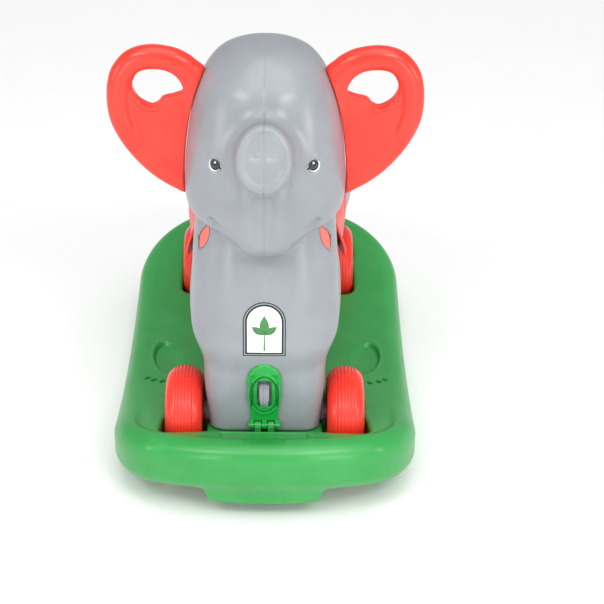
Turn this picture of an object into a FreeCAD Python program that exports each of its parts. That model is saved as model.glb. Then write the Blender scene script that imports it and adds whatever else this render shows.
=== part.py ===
import FreeCAD, Part
import math
import os

import Sketcher

Vector = FreeCAD.Vector
Rotation = FreeCAD.Rotation
Placement = FreeCAD.Placement

# A ride-on elephant on four wheels that stands in a rocker base.
# The frame: +Z up, the elephant faces -Y, +X is to the right of someone who looks at its face.
# The origin lies on the floor, midway between the two axles and on the centre plane.

SIZES = {
    # rocker base
    "base_reach": 320,               # front and rear ends, from the origin
    "base_half_width": 195,
    "base_front_radius": 400,        # the front edge seen from above
    "base_front_corner": 60,
    "base_rear_corner": 135,
    "base_wall": 3,
    "rocker_radius": 1000,           # the curve that the base rocks on
    "rest_flat_half": 30,            # half the flat strip in the middle of that curve
    "deck_low": 64,                  # height of the deck at its lowest point
    "deck_radius": 870,
    "deck_edge_round": 24,
    "rocker_edge_round": 16,
    "stop_half_width": 84,           # rocking stops under both ends
    "stop_foot_half_width": 73,
    "stop_foot_height": 27,
    "stop_front_setback": 12,
    "stop_length": 36,
    "well_inner": 73,                # wheel wells, distances from the centre plane
    "well_outer": 137.5,
    "well_half_length": 65.5,
    "well_corner": 14,
    # wheels and axles
    "axle_spread": 193.5,            # each axle from the origin
    "axle_radius": 5,
    "axle_height": 88,
    "axle_boss_radius": 14,
    "wheel_radius": 60,
    "wheel_width": 51,
    "wheel_inner_face": 79,
    "wheel_shoulder": 15,
    "wheel_wall": 3,
    "wheel_hub_radius": 17,
    "wheel_dish_radius": 41,
    "wheel_dish_depth": 8,
    "cap_radius": 11,
    "cap_length": 6,
    "cap_round": 2.5,
    "spacer_radius": 10,
    # elephant body
    "skin": 3,
    "chest_reach": 242,              # flat of the chest, ahead of the origin
    "rump_reach": 262,
    "leg_half_width": 77,
    "leg_corner": 30,
    "leg_top": 215,
    "flank_low": 187,
    "back_height": 305,
    "chest_half_width": 90,
    "waist_half_width": 95,
    "rump_half_width": 118,
    "flank_corner": 42,
    "belly_hollow_radius": 200,      # the shallow hollow in each side between the wheels
    "belly_hollow_depth": 10,
    "neck_foot": 228,
    "neck_head": 420,
    "neck_half_width": 90,
    "neck_back": 58,
    "neck_corner": 58,
    "head_low": 352,
    "head_top": 588,
    "head_half_width": 97,
    "head_middle": -158,
    "head_half_depth": 107,
    "trunk_root_y": -205,
    "trunk_root_z": 458,
    "trunk_tip_y": -302,
    "trunk_tip_z": 501,
    "trunk_tilt_angle": 27,
    "trunk_half_width": 31,
    "trunk_half_height": 35,
    # ear handles
    "ear_plane": -160,
    "ear_thickness": 26,
    "ear_round": 10,
    "ear_hole_round": 7,
    "ear_reach": 185,
    "ear_low": 390,
    "ear_top": 578,
    "tenon_width": 18,
    "tenon_low": 425,
    "tenon_high": 490,
    "tenon_depth": 22,
    # saddle
    "saddle_thickness": 8,
    "saddle_front": -78,
    "saddle_rear": 112,
    "saddle_low": 246,
    "saddle_pommel": 345,
    "saddle_flap_round": 24,
    "saddle_screw_front": -30,
    "saddle_screw_rear": 45,
    "saddle_screw_height": 268,
    "screw_radius": 2,
    "screw_head_radius": 5,
    "screw_head_length": 2.5,
    "screw_grip": 16,
    "screw_boss_radius": 6,
    # neck inserts
    "insert_offset": 72,
    "insert_height": 357,
    "insert_length": 36,
    "insert_width": 9,
    "insert_lean_angle": 20,
    "insert_recess": 1.2,
    "insert_thickness": 3,
    # label and eyes
    "decal": 0.5,
    "decal_lift": 0.15,
    "label_half_width": 26,
    "label_low": 210,
    "label_high": 283,
    "eye_offset": 57,
    "eye_height": 465,
    "eye_radius": 7.5,
    # latch
    "hinge_height": 105.5,
    "hinge_radius": 5,
    "hinge_pin_radius": 2,
    "hinge_half_width": 19,
    "hinge_middle_half": 3.5,
    "hinge_outer_start": 13,
    "latch_gap": 0.6,
    "latch_thickness": 4,
    "latch_half_width": 22,
    "latch_neck_half_width": 19.5,
    "latch_rise": 90.5,
    "latch_slot_half_width": 8.7,
    "latch_slot_half_height": 19.3,
    "latch_frame": 3,
    "latch_frame_height": 3,
    # lock knob
    "knob_height": 154,
    "knob_radius": 17,
    "knob_width": 13.4,
    "knob_stem_radius": 6,
    "knob_groove_width": 1.4,
    "knob_groove_depth": 1.3,
    "knob_groove_pitch": 3.4,
    "knob_groove_count": 3,
    "clip_radius": 11,
    "clip_thickness": 1.5,
    # clearances
    "running_gap": 0.06,             # a shaft in its bore
    "part_gap": 0.4,                 # pieces that lie beside each other
    "overrun": 20,                   # how far a cutting shape runs past what it cuts
}

doc = FreeCAD.newDocument("RockingElephant")
sheet = doc.addObject("Spreadsheet::Sheet", "Sizes")
for row, (name, number) in enumerate(SIZES.items(), start=1):
    sheet.set(f"A{row}", name)
    sheet.set(f"B{row}", str(number))
    sheet.setAlias(f"B{row}", name)
doc.recompute()


def size(name):
    return float(sheet.get(name))


def value(expression):
    result = sheet.evalExpression(expression)
    return float(getattr(result, "Value", result))


# Helpers for sketched pieces: every corner is a pair of expressions in the sheet's names.

def origin_plane(body, role):
    return next(plane for plane in body.Origin.OriginFeatures if plane.Role == role)


def new_body(label):
    body = doc.addObject("PartDesign::Body", label)
    body.Label = label
    return body


def new_sketch(body, name, role):
    sketch = body.newObject("Sketcher::SketchObject", name)
    sketch.AttachmentSupport = [(origin_plane(body, role), "")]
    sketch.MapMode = "FlatFace"
    return sketch


def tie(sketch, kind, number, expression, *places):
    index = sketch.addConstraint(Sketcher.Constraint(kind, *places, number))
    sketch.setExpression(f"Constraints[{index}]", expression)


def add_loop(sketch, corners):
    first = sketch.GeometryCount
    places = [Vector(value(across), value(up), 0) for across, up in corners]
    count = len(corners)
    for index, place in enumerate(places):
        sketch.addGeometry(Part.LineSegment(place, places[(index + 1) % count]), False)
    for index in range(count):
        following = first + (index + 1) % count
        sketch.addConstraint(Sketcher.Constraint("Coincident", first + index, 2, following, 1))
    for index, (across, up) in enumerate(corners):
        for kind, expression, number, axis in (("DistanceX", across, places[index].x, -2),
                                               ("DistanceY", up, places[index].y, -1)):
            if expression == "0":
                sketch.addConstraint(Sketcher.Constraint("PointOnObject", first + index, 1, axis))
            else:
                tie(sketch, kind, number, expression, -1, 1, first + index, 1)


def add_circle(sketch, across, up, radius):
    index = sketch.GeometryCount
    centre = Vector(value(across), value(up), 0)
    sketch.addGeometry(Part.Circle(centre, Vector(0, 0, 1), value(radius)), False)
    for kind, expression, number, axis in (("DistanceX", across, centre.x, -2),
                                           ("DistanceY", up, centre.y, -1)):
        if expression == "0":
            sketch.addConstraint(Sketcher.Constraint("PointOnObject", index, 3, axis))
        else:
            tie(sketch, kind, number, expression, -1, 1, index, 3)
    tie(sketch, "Radius", value(radius), radius, index)


def box_corners(left, right, low, high):
    return [(left, low), (right, low), (right, high), (left, high)]


def pad(body, sketch, length, name, midplane=False, reverse=False):
    feature = body.newObject("PartDesign::Pad", name)
    feature.Profile = sketch
    feature.setExpression("Length", length)
    feature.Midplane = midplane
    feature.Reversed = reverse
    return feature


def pocket(body, sketch, length, name, midplane=False, reverse=False):
    feature = body.newObject("PartDesign::Pocket", name)
    feature.Profile = sketch
    feature.setExpression("Length", length)
    feature.Midplane = midplane
    feature.Reversed = reverse
    return feature


def turn(body, sketch, name, kind="PartDesign::Revolution"):
    feature = body.newObject(kind, name)
    feature.Profile = sketch
    feature.ReferenceAxis = (sketch, ["H_Axis"])
    feature.Angle = 360
    return feature


def put(piece, across, along, up, rotation=Rotation()):
    piece.Placement = Placement(Vector(value(across), value(along), value(up)), rotation)
    piece.setExpression(".Placement.Base.x", across)
    piece.setExpression(".Placement.Base.y", along)
    piece.setExpression(".Placement.Base.z", up)


def keep(label, shape):
    piece = doc.addObject("Part::Feature", label)
    piece.Label = label
    piece.Shape = shape
    piece.Placement = Placement()
    return piece


def turned_piece(label, loops):
    body = new_body(label)
    sketch = new_sketch(body, label + "_profile", "XZ_Plane")
    for loop in loops:
        add_loop(sketch, loop)
    turn(body, sketch, label + "_turned")
    return body


# Helpers for the moulded shells.

def rounded_wire(corners, radii, height):
    """A closed flat wire of lines with a tangent arc at every corner."""
    edges = []
    starts = []
    count = len(corners)
    for index in range(count):
        corner = Vector(corners[index][0], corners[index][1], height)
        before = Vector(corners[index - 1][0], corners[index - 1][1], height) - corner
        after = Vector(corners[(index + 1) % count][0], corners[(index + 1) % count][1], height)
        after = after - corner
        before.normalize()
        after.normalize()
        half = before.getAngle(after) / 2
        reach = radii[index] / math.tan(half)
        bisector = (before + after).normalize()
        middle = corner + bisector * (radii[index] / math.sin(half) - radii[index])
        starts.append((corner + before * reach, middle, corner + after * reach))
    for index, (start, middle, end) in enumerate(starts):
        edges.append(Part.Arc(start, middle, end).toShape())
        edges.append(Part.LineSegment(end, starts[(index + 1) % count][0]).toShape())
    return Part.Wire(edges)


def smooth_wire(points):
    curve = Part.BSplineCurve()
    curve.interpolate(Points=points, PeriodicFlag=True)
    return Part.Wire([curve.toShape()])


def oval_points(half_width, front, rear, squareness, count):
    """Points of an oval whose front and rear halves have depths of their own."""
    points = []
    for step in range(count):
        angle = 2 * math.pi * step / count
        across = math.copysign(abs(math.cos(angle)) ** (2 / squareness), math.cos(angle))
        along = math.copysign(abs(math.sin(angle)) ** (2 / squareness), math.sin(angle))
        points.append((half_width * across, (rear if along > 0 else front) * along))
    return points


def slab(left, right, front, rear, low, high):
    return Part.makeBox(right - left, rear - front, high - low, Vector(left, front, low))


def cross_rod(radius, left, right, along, up):
    return Part.makeCylinder(radius, right - left, Vector(left, along, up), Vector(1, 0, 0))


# The rocker base: a double-walled tray with four wheel wells and a stop under each end.

def deck_height(along):
    return (size("deck_low") + size("deck_radius")
            - math.sqrt(size("deck_radius") ** 2 - along ** 2))


def rim_edges(solid, upward):
    """Edges where an upright wall meets the deck (upward) or the rocking face."""
    found = []
    for edge in solid.Edges:
        faces = solid.ancestorsOfType(edge, Part.Face)
        if len(faces) != 2:
            continue
        rises = []
        for face in faces:
            across, along = face.Surface.parameter(edge.valueAt(edge.FirstParameter))
            rises.append(face.normalAt(across, along).z)
        rises.sort(key=abs)
        if abs(rises[0]) < math.sin(math.radians(2)) < abs(rises[1]) and (rises[1] > 0) == upward:
            found.append(edge)
    return found


def upright_edges(solid):
    return [edge for edge in solid.Edges
            if abs(edge.tangentAt(edge.FirstParameter).z) > math.cos(math.radians(1))]


def rocker_rod(inset):
    """The great cylinder whose lowest part is the rocking face."""
    sink = size("rest_flat_half") ** 2 / (2 * size("rocker_radius"))
    wide = size("base_half_width") + size("overrun")
    return cross_rod(size("rocker_radius") - inset, -wide, wide, 0,
                     size("rocker_radius") - sink)


def tray_form(inset):
    half = size("base_half_width") - inset
    reach = size("base_reach") - inset
    high = size("base_half_width")
    front_middle = size("base_front_radius") - size("base_reach")
    front_radius = size("base_front_radius") - inset
    disc = Part.makeCylinder(front_radius, high, Vector(0, front_middle, 0))
    plan = slab(-half, half, -reach - size("overrun"), reach, 0, high).common(disc).Solids[0]
    rear = [edge for edge in upright_edges(plan) if edge.CenterOfMass.y > 0]
    plan = plan.makeFillet(size("base_rear_corner") - inset, rear)
    front = [edge for edge in upright_edges(plan)
             if edge.CenterOfMass.y < -reach / 2 and abs(edge.CenterOfMass.x) > half / 2]
    plan = plan.makeFillet(size("base_front_corner") - inset, front)
    wide = half + size("overrun")
    deck = cross_rod(size("deck_radius") + inset, -wide, wide, 0,
                     size("deck_low") + size("deck_radius"))
    form = plan.common(slab(-wide, wide, -reach - size("overrun"), reach, inset, high))
    form = form.common(rocker_rod(inset))
    form = form.cut(deck).Solids[0]
    form = form.makeFillet(size("deck_edge_round") - inset, rim_edges(form, True))
    return form.makeFillet(size("rocker_edge_round") - inset, rim_edges(form, False))


def rocking_stop(side, inset):
    """A tongue under one end that meets the floor when the base tips too far."""
    outer = size("base_reach") - size("stop_front_setback") - inset
    inner = outer - size("stop_length") + 2 * inset
    foot = size("stop_foot_height") + inset
    top = deck_height(inner) - size("deck_edge_round")
    wide = size("stop_half_width") - inset
    narrow = size("stop_foot_half_width") - inset
    rise = size("deck_low") / 2
    face = Part.Face(Part.makePolygon([
        Vector(-narrow, side * inner, foot), Vector(narrow, side * inner, foot),
        Vector(wide, side * inner, foot + rise), Vector(wide, side * inner, top),
        Vector(-wide, side * inner, top), Vector(-wide, side * inner, foot + rise),
        Vector(-narrow, side * inner, foot)]))
    return face.extrude(Vector(0, side * (outer - inner), 0))


def wheel_wells(grow):
    """The four pockets and the two cross channels that clear the axle bosses."""
    shapes = []
    low = well_floor() - grow
    high = size("base_half_width")
    for end in (-1, 1):
        along = end * size("axle_spread")
        for side in (-1, 1):
            edges = sorted((side * (size("well_inner") - grow), side * (size("well_outer") + grow)))
            pocket_form = slab(edges[0], edges[1], along - size("well_half_length") - grow,
                               along + size("well_half_length") + grow, low, high)
            pocket_form = pocket_form.makeFillet(size("well_corner") + grow,
                                                 upright_edges(pocket_form))
            shapes.append(pocket_form.common(rocker_rod(size("base_wall") - grow)))
        reach = size("well_inner") + size("part_gap")
        radius = size("axle_boss_radius") + size("part_gap") + grow
        shapes.append(cross_rod(radius, -reach, reach, along, size("axle_height")))
    return shapes


def well_floor():
    return size("axle_height") - size("wheel_radius") - size("part_gap")


def hinge_y():
    return -size("chest_reach") - size("latch_gap") - size("hinge_radius") - size("part_gap")


def base_knuckles():
    """The two ears of the base that hold the latch's hinge pin."""
    inner = size("hinge_middle_half") + size("part_gap")
    outer = size("hinge_outer_start") - size("part_gap")
    radius = size("hinge_radius")
    foot = deck_height(size("chest_reach")) - size("base_wall")
    shapes = []
    for left, right in ((-outer, -inner), (inner, outer)):
        barrel = cross_rod(radius, left, right, hinge_y(), size("hinge_height"))
        post = slab(left, right, hinge_y() - radius, hinge_y() + radius, foot,
                    size("hinge_height"))
        shapes.append(barrel.fuse(post))
    return shapes


def rocker_base():
    outer = tray_form(0).multiFuse([rocking_stop(-1, 0), rocking_stop(1, 0)])
    hollow = tray_form(size("base_wall")).multiFuse(
        [rocking_stop(-1, size("base_wall")), rocking_stop(1, size("base_wall"))])
    hollow = hollow.cut(Part.makeCompound(wheel_wells(size("base_wall"))))
    shell = outer.cut(Part.makeCompound(wheel_wells(0)))
    shell = shell.multiFuse(base_knuckles()).cut(hollow)
    pin = cross_rod(size("hinge_pin_radius"), -size("hinge_half_width"),
                    size("hinge_half_width"), hinge_y(), size("hinge_height"))
    return shell.cut(pin)


# The elephant: one blow-moulded skin over head, trunk, neck, flanks and the blocks of its legs.
# Each table row is a share of the height, then shares of the widths and depths named above it.

FLANK_SHARES = [
    # height, chest width, waist width, rump width, front reach, rear reach, corner
    (0.00, 0.82, 0.82, 0.70, 0.985, 0.93, 0.80),
    (0.15, 0.92, 0.93, 0.91, 1.000, 0.97, 1.00),
    (0.32, 0.97, 0.99, 0.99, 1.000, 1.00, 1.00),
    (0.50, 0.99, 1.00, 1.00, 0.990, 1.00, 1.00),
    (0.66, 0.96, 0.96, 0.95, 0.960, 0.97, 0.96),
    (0.80, 0.86, 0.85, 0.84, 0.900, 0.90, 0.86),
    (0.90, 0.70, 0.68, 0.66, 0.820, 0.78, 0.68),
    (0.96, 0.50, 0.48, 0.46, 0.720, 0.63, 0.46),
    (1.00, 0.27, 0.26, 0.24, 0.600, 0.45, 0.23),
]
FLANK_WAIST_SHARE = -0.10
FLANK_RUMP_SHARE = 0.50
FLANK_REAR_SHARE = 0.88
FLANK_CORNER_SHARES = [1, 4, 3, 1.8]
LEG_REAR_SHARE = 0.98
NECK_SHARES = [
    # height, width, front reach, rear reach
    (0.00, 0.97, 1.000, 1.00),
    (0.24, 1.00, 1.000, 1.03),
    (0.48, 0.97, 0.970, 1.08),
    (0.64, 0.93, 0.935, 1.15),
    (0.80, 0.90, 0.910, 1.22),
    (1.00, 0.85, 0.880, 1.35),
]
HEAD_SHARES = [
    # height, width, front depth, rear depth
    (0.000, 0.60, 0.76, 0.80),
    (0.045, 0.87, 0.93, 0.90),
    (0.110, 0.97, 0.99, 0.94),
    (0.180, 1.00, 1.00, 0.96),
    (0.370, 0.98, 0.97, 0.99),
    (0.500, 0.94, 0.92, 0.99),
    (0.650, 0.88, 0.83, 0.96),
    (0.800, 0.77, 0.70, 0.85),
    (0.905, 0.64, 0.54, 0.67),
    (0.970, 0.47, 0.37, 0.45),
    (1.000, 0.24, 0.18, 0.22),
]
TRUNK_SHARES = [
    # way from root to tip, half width, half height
    (0.00, 1.45, 1.70),
    (0.35, 1.15, 1.35),
    (0.62, 0.98, 1.08),
    (0.86, 0.94, 0.96),
    (1.00, 1.00, 1.00),
]
OVAL_POINTS = 16
HEAD_SQUARENESS = 2.3


def leg_block(offset):
    """The narrow lower part between the wheels, cut to the deck's curve."""
    half = size("leg_half_width") + offset
    front = size("chest_reach") + offset
    rear = size("rump_reach") * LEG_REAR_SHARE + offset
    corner = size("leg_corner") + offset
    low = size("deck_low") - size("deck_edge_round")
    outline = rounded_wire([(-half, -front), (half, -front), (half, rear), (-half, rear)],
                           [corner] * 4, low)
    block = Part.Face(outline).extrude(Vector(0, 0, size("leg_top") - low))
    wide = half + size("overrun")
    block = block.common(cross_rod(size("deck_radius") - size("part_gap") + offset, -wide, wide, 0,
                                   size("deck_low") + size("deck_radius")))
    return block.cut(Part.makeCompound([belly_hollow(-1, offset), belly_hollow(1, offset)]))


def belly_hollow(side, offset):
    """A great ball whose cap is pressed into one side, midway between the axles."""
    middle = size("leg_half_width") - size("belly_hollow_depth") + size("belly_hollow_radius")
    return Part.makeSphere(size("belly_hollow_radius") - offset,
                           Vector(side * middle, 0, size("axle_height")))


def axle_bosses(offset):
    half = size("leg_half_width") + offset
    return [cross_rod(size("axle_boss_radius") + offset, -half, half,
                      end * size("axle_spread"), size("axle_height")) for end in (-1, 1)]


def flanks(offset):
    wires = []
    low = size("flank_low") - offset
    rise = size("back_height") + offset - low
    for height, chest, waist, rump, front, rear, corner in FLANK_SHARES:
        chest = size("chest_half_width") * chest + offset
        waist = size("waist_half_width") * waist + offset
        rump = size("rump_half_width") * rump + offset
        front = size("chest_reach") * front + offset
        rear = size("rump_reach") * rear + offset
        waist_y = front * FLANK_WAIST_SHARE
        rump_y = rear * FLANK_RUMP_SHARE
        corner = (size("flank_corner") + offset) * corner
        right = [(chest, -front), (waist, waist_y), (rump, rump_y), (rump * FLANK_REAR_SHARE, rear)]
        left = [(-across, along) for across, along in reversed(right)]
        radii = [corner * share for share in FLANK_CORNER_SHARES]
        wires.append(rounded_wire(right + left, radii + radii[::-1], low + rise * height))
    return Part.makeLoft(wires, True, False)


def neck(offset):
    wires = []
    low = size("neck_foot") - offset
    rise = size("neck_head") + offset - low
    corner = size("neck_corner") + offset
    for height, width, front, rear in NECK_SHARES:
        half = size("neck_half_width") * width + offset
        ahead = size("chest_reach") * front + offset
        behind = offset - size("neck_back") * rear
        outline = [(half, -ahead), (half, behind), (-half, behind), (-half, -ahead)]
        wires.append(rounded_wire(outline, [corner] * 4, low + rise * height))
    return Part.makeLoft(wires, True, False)


def head(offset):
    wires = []
    low = size("head_low") - offset
    rise = size("head_top") + offset - low
    for height, width, front, rear in HEAD_SHARES:
        points = oval_points(size("head_half_width") * width + offset,
                             size("head_half_depth") * front + offset,
                             size("head_half_depth") * rear + offset,
                             HEAD_SQUARENESS, OVAL_POINTS)
        wires.append(smooth_wire([Vector(across, size("head_middle") + along, low + rise * height)
                                  for across, along in points]))
    return Part.makeLoft(wires, True, False)


def trunk(offset):
    wires = []
    root = Vector(0, size("trunk_root_y"), size("trunk_root_z"))
    tip = Vector(0, size("trunk_tip_y"), size("trunk_tip_z"))
    tilt = math.radians(size("trunk_tilt_angle"))
    outward = Vector(0, -math.cos(tilt), math.sin(tilt))
    upward = Vector(0, math.sin(tilt), math.cos(tilt))
    for way, width, height in TRUNK_SHARES:
        centre = root + (tip - root) * way + outward * (offset * way)
        points = oval_points(size("trunk_half_width") * width + offset,
                             size("trunk_half_height") * height + offset,
                             size("trunk_half_height") * height + offset, 2, OVAL_POINTS)
        wires.append(smooth_wire([centre + Vector(across, 0, 0) + upward * along
                                  for across, along in points]))
    return Part.makeLoft(wires, True, False)


def elephant_form(offset):
    return leg_block(offset).multiFuse(
        axle_bosses(offset) + [flanks(offset), neck(offset), head(offset), trunk(offset)])


OUTER = elephant_form(0)
INNER = elephant_form(-size("skin"))


def reach_across(shape, along, up):
    """How far a shape reaches to +X at one place."""
    ray = Part.makeLine(Vector(0, along, up), Vector(size("base_half_width"), along, up))
    return ray.common(shape).BoundBox.XMax


# Pieces that plug into or lie on the skin.

EAR_OUTLINE_SHARES = [
    # out from the centre plane over the ear's reach, up over its height
    (0.36, 0.80), (0.53, 0.955), (0.70, 1.00), (0.87, 0.945), (0.96, 0.83), (1.00, 0.67),
    (0.985, 0.53), (0.93, 0.385), (0.86, 0.28), (0.77, 0.16), (0.65, 0.06), (0.53, 0.00),
    (0.42, 0.03), (0.34, 0.35),
]
EAR_HOLE_SHARES = [
    (0.52, 0.715), (0.55, 0.80), (0.64, 0.835), (0.735, 0.84), (0.81, 0.79), (0.84, 0.72),
    (0.80, 0.645), (0.72, 0.612), (0.65, 0.665), (0.585, 0.69),
]
EAR_HOLE_INNER_SHARE = 0.55
EAR_HOLE_MIDDLE_SHARE = 0.72
TENON_END_SHARE = 0.62
SADDLE_CORNER_SHARES = [0.25, 1, 2, 1, 0.25]


def ear_place(side, shares, along):
    out, up = shares
    rise = size("ear_top") - size("ear_low")
    return Vector(side * out * size("ear_reach"), along, size("ear_low") + up * rise)


def ear_pad(side, table):
    front = size("ear_plane") - size("ear_thickness") / 2
    wire = smooth_wire([ear_place(side, shares, front) for shares in table])
    return Part.Face(wire).extrude(Vector(0, size("ear_thickness"), 0))


def face_edges(solid):
    """Edges that lie wholly in the front or the rear face of an ear."""
    slack = size("running_gap")
    faces = (size("ear_plane") - size("ear_thickness") / 2,
             size("ear_plane") + size("ear_thickness") / 2)
    return [edge for edge in solid.Edges if edge.BoundBox.YLength < slack
            and min(abs(edge.BoundBox.YMin - face) for face in faces) < slack]


def ear_tenon(side, grow):
    root = size("head_half_width") - size("tenon_depth") - grow
    end = size("ear_reach") * TENON_END_SHARE
    edges = sorted((side * root, side * end))
    half = size("tenon_width") / 2 + grow
    return slab(edges[0], edges[1], size("ear_plane") - half, size("ear_plane") + half,
                size("tenon_low") - grow, size("tenon_high") + grow)


def ear_handle(side, clear_skin):
    rim = ear_pad(side, EAR_OUTLINE_SHARES)
    rim = rim.makeFillet(size("ear_round"), face_edges(rim))
    hole = ear_pad(side, EAR_HOLE_SHARES)
    ear = rim.cut(hole)
    middle = ear_place(side, (0, EAR_HOLE_MIDDLE_SHARE), 0).z
    hole_edges = [edge for edge in face_edges(ear)
                  if edge.Length < 2 * size("ear_reach")
                  and abs(edge.CenterOfMass.x) > size("ear_reach") * EAR_HOLE_INNER_SHARE
                  and abs(edge.CenterOfMass.z - middle) < size("ear_round")]
    ear = ear.makeFillet(size("ear_hole_round"), hole_edges)
    ear = ear.cut(clear_skin)
    ear = max(ear.Solids, key=lambda solid: solid.Volume)
    return ear.fuse(ear_tenon(side, 0)).removeSplitter()


def saddle_outline(front, rear, low, high):
    """The blanket seen from the side: a rounded flap hangs below the seat."""
    flap = size("saddle_flap_round")
    seat = low + (size("back_height") - low) / 2
    middle = (front + rear) / 2
    corners = [(front, high), (front, low), (middle, low), (rear, seat), (rear, high)]
    radii = [flap * share for share in SADDLE_CORNER_SHARES]
    flat = rounded_wire(corners, radii, 0)
    turned = flat.copy()
    turned.transformShape(FreeCAD.Matrix(0, 0, 1, 0, 1, 0, 0, 0, 0, 1, 0, 0, 0, 0, 0, 1))
    return Part.Face(turned)


def saddle_screw_places():
    return [(side, along) for side in (-1, 1)
            for along in (size("saddle_screw_front"), size("saddle_screw_rear"))]


def screw_seat(along):
    """Distance of a screw head's bearing face from the centre plane."""
    return (reach_across(OUTER, along, size("saddle_screw_height"))
            + size("saddle_thickness") / 2)


def side_rod(side, radius, near, far, along):
    edges = sorted((side * near, side * far))
    return cross_rod(radius, edges[0], edges[1], along, size("saddle_screw_height"))


def saddle(clear_skin):
    high = size("saddle_pommel")
    wide = size("base_half_width")
    outline = saddle_outline(size("saddle_front"), size("saddle_rear"), size("saddle_low"), high)
    block = outline.extrude(Vector(2 * wide, 0, 0))
    block.translate(Vector(-wide, 0, 0))
    layer = leg_block(size("saddle_thickness")).multiFuse(
        [flanks(size("saddle_thickness")), neck(size("saddle_thickness"))])
    blanket = block.common(layer).cut(clear_skin)
    blanket = max(blanket.Solids, key=lambda solid: solid.Volume)
    holes = []
    for side, along in saddle_screw_places():
        seat = screw_seat(along)
        holes.append(side_rod(side, size("screw_radius") + size("part_gap"), 0, seat, along))
        holes.append(side_rod(side, size("screw_head_radius") + size("part_gap"), seat, wide,
                              along))
    return blanket.cut(Part.makeCompound(holes))


def saddle_screws():
    screws = []
    for side, along in saddle_screw_places():
        seat = screw_seat(along)
        shank = side_rod(side, size("screw_radius"), seat - size("saddle_thickness") / 2
                         - size("screw_grip"), seat, along)
        cap = side_rod(side, size("screw_head_radius"), seat, seat + size("screw_head_length"),
                       along)
        screws.append(shank.fuse(cap))
    return Part.makeCompound(screws)


def insert_prism(side, grow):
    """A leaf that leans in at its top, run through the neck from front to rear."""
    half = size("insert_width") / 2 + grow
    tall = size("insert_length") / 2 + grow
    front = -size("chest_reach") - size("overrun")
    low = Vector(0, front, -tall)
    high = Vector(0, front, tall)
    leaf = Part.Wire([Part.Arc(low, Vector(half, front, 0), high).toShape(),
                      Part.Arc(high, Vector(-half, front, 0), low).toShape()])
    prism = Part.Face(leaf).extrude(Vector(0, size("chest_reach") / 2, 0))
    prism.rotate(Vector(), Vector(0, 1, 0), -side * size("insert_lean_angle"))
    prism.translate(Vector(side * size("insert_offset"), 0, size("insert_height")))
    return prism


def neck_insert(side):
    outside = neck(-size("insert_recess"))
    inside = neck(-size("insert_recess") - size("insert_thickness"))
    piece = insert_prism(side, 0).common(outside).cut(inside)
    return max(piece.Solids, key=lambda solid: solid.Volume)


def decal_layer(prism, pieces):
    """What a prism cuts from the thin layer that lies on the skin."""
    lift = size("decal_lift")
    outside = [piece(lift + size("decal")) for piece in pieces]
    inside = [piece(lift) for piece in pieces]
    layer = prism.common(outside[0].multiFuse(outside[1:])).cut(inside[0].multiFuse(inside[1:]))
    return max(layer.Solids, key=lambda solid: solid.Volume)


def chest_label():
    half = size("label_half_width")
    low = size("label_low")
    spring = size("label_high") - half
    front = -size("chest_reach") - size("overrun")
    left = Vector(-half, front, spring)
    right = Vector(half, front, spring)
    edges = [Part.LineSegment(left, Vector(-half, front, low)).toShape(),
             Part.LineSegment(Vector(-half, front, low), Vector(half, front, low)).toShape(),
             Part.LineSegment(Vector(half, front, low), right).toShape(),
             Part.Arc(right, Vector(0, front, size("label_high")), left).toShape()]
    prism = Part.Face(Part.Wire(edges)).extrude(Vector(0, size("chest_reach") / 2, 0))
    return decal_layer(prism, [leg_block, flanks, neck])


def eye_decal(side):
    front = -size("chest_reach") - size("overrun") * 2
    prism = Part.makeCylinder(size("eye_radius"), size("chest_reach") / 2,
                              Vector(side * size("eye_offset"), front, size("eye_height")),
                              Vector(0, 1, 0))
    return decal_layer(prism, [head, neck])


def elephant_skin():
    """The skin with its axle tubes, screw bosses, ear mortises, neck slots and knob bore."""
    wide = size("base_half_width")
    axle_bore = size("axle_radius") + size("running_gap")
    solid_parts = [cross_rod(axle_bore + size("skin"), -wide, wide, end * size("axle_spread"),
                             size("axle_height")) for end in (-1, 1)]
    bosses = []
    threads = []
    for side, along in saddle_screw_places():
        skin_face = reach_across(OUTER, along, size("saddle_screw_height"))
        deep = skin_face - size("screw_grip") - size("skin")
        bosses.append(side_rod(side, size("screw_boss_radius"), deep, skin_face, along))
        threads.append(side_rod(side, size("screw_radius"), deep + size("skin") / 2, wide, along))
    hollow = INNER.cut(Part.makeCompound(solid_parts + bosses))
    cuts = [cross_rod(axle_bore, -wide, wide, end * size("axle_spread"), size("axle_height"))
            for end in (-1, 1)] + threads
    for side in (-1, 1):
        cuts.append(ear_tenon(side, size("part_gap")))
        cuts.append(insert_prism(side, 0))
    cuts.append(Part.makeCylinder(size("knob_stem_radius") + size("running_gap"),
                                  2 * size("skin") + size("overrun"),
                                  Vector(0, -size("chest_reach") - size("overrun"),
                                         size("knob_height")), Vector(0, 1, 0)))
    shell = OUTER.cut(hollow)
    return shell.cut(Part.makeCompound(cuts))


CLEAR_SKIN = elephant_form(size("part_gap"))

keep("rocker_base", rocker_base())
keep("elephant_body", elephant_skin())
keep("saddle", saddle(CLEAR_SKIN))
keep("saddle_screws", saddle_screws())
keep("chest_label", chest_label())
for name, side in (("left", -1), ("right", 1)):
    keep(f"ear_handle_{name}", ear_handle(side, CLEAR_SKIN))
    keep(f"neck_insert_{name}", neck_insert(side))
    keep(f"eye_decal_{name}", eye_decal(side))


# Wheels, axles and what holds them. Each is turned about its own X axis, outer face to +X.

HALF_WHEEL = "Sizes.wheel_width / 2"
DISH_FACE = "Sizes.wheel_width / 2 - Sizes.wheel_dish_depth"
BORE = "Sizes.axle_radius + Sizes.running_gap"

DISH_FLARE = "Sizes.wheel_dish_depth * 0.25"
DISH_INSIDE = f"{DISH_FACE} - Sizes.wheel_wall"
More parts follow.
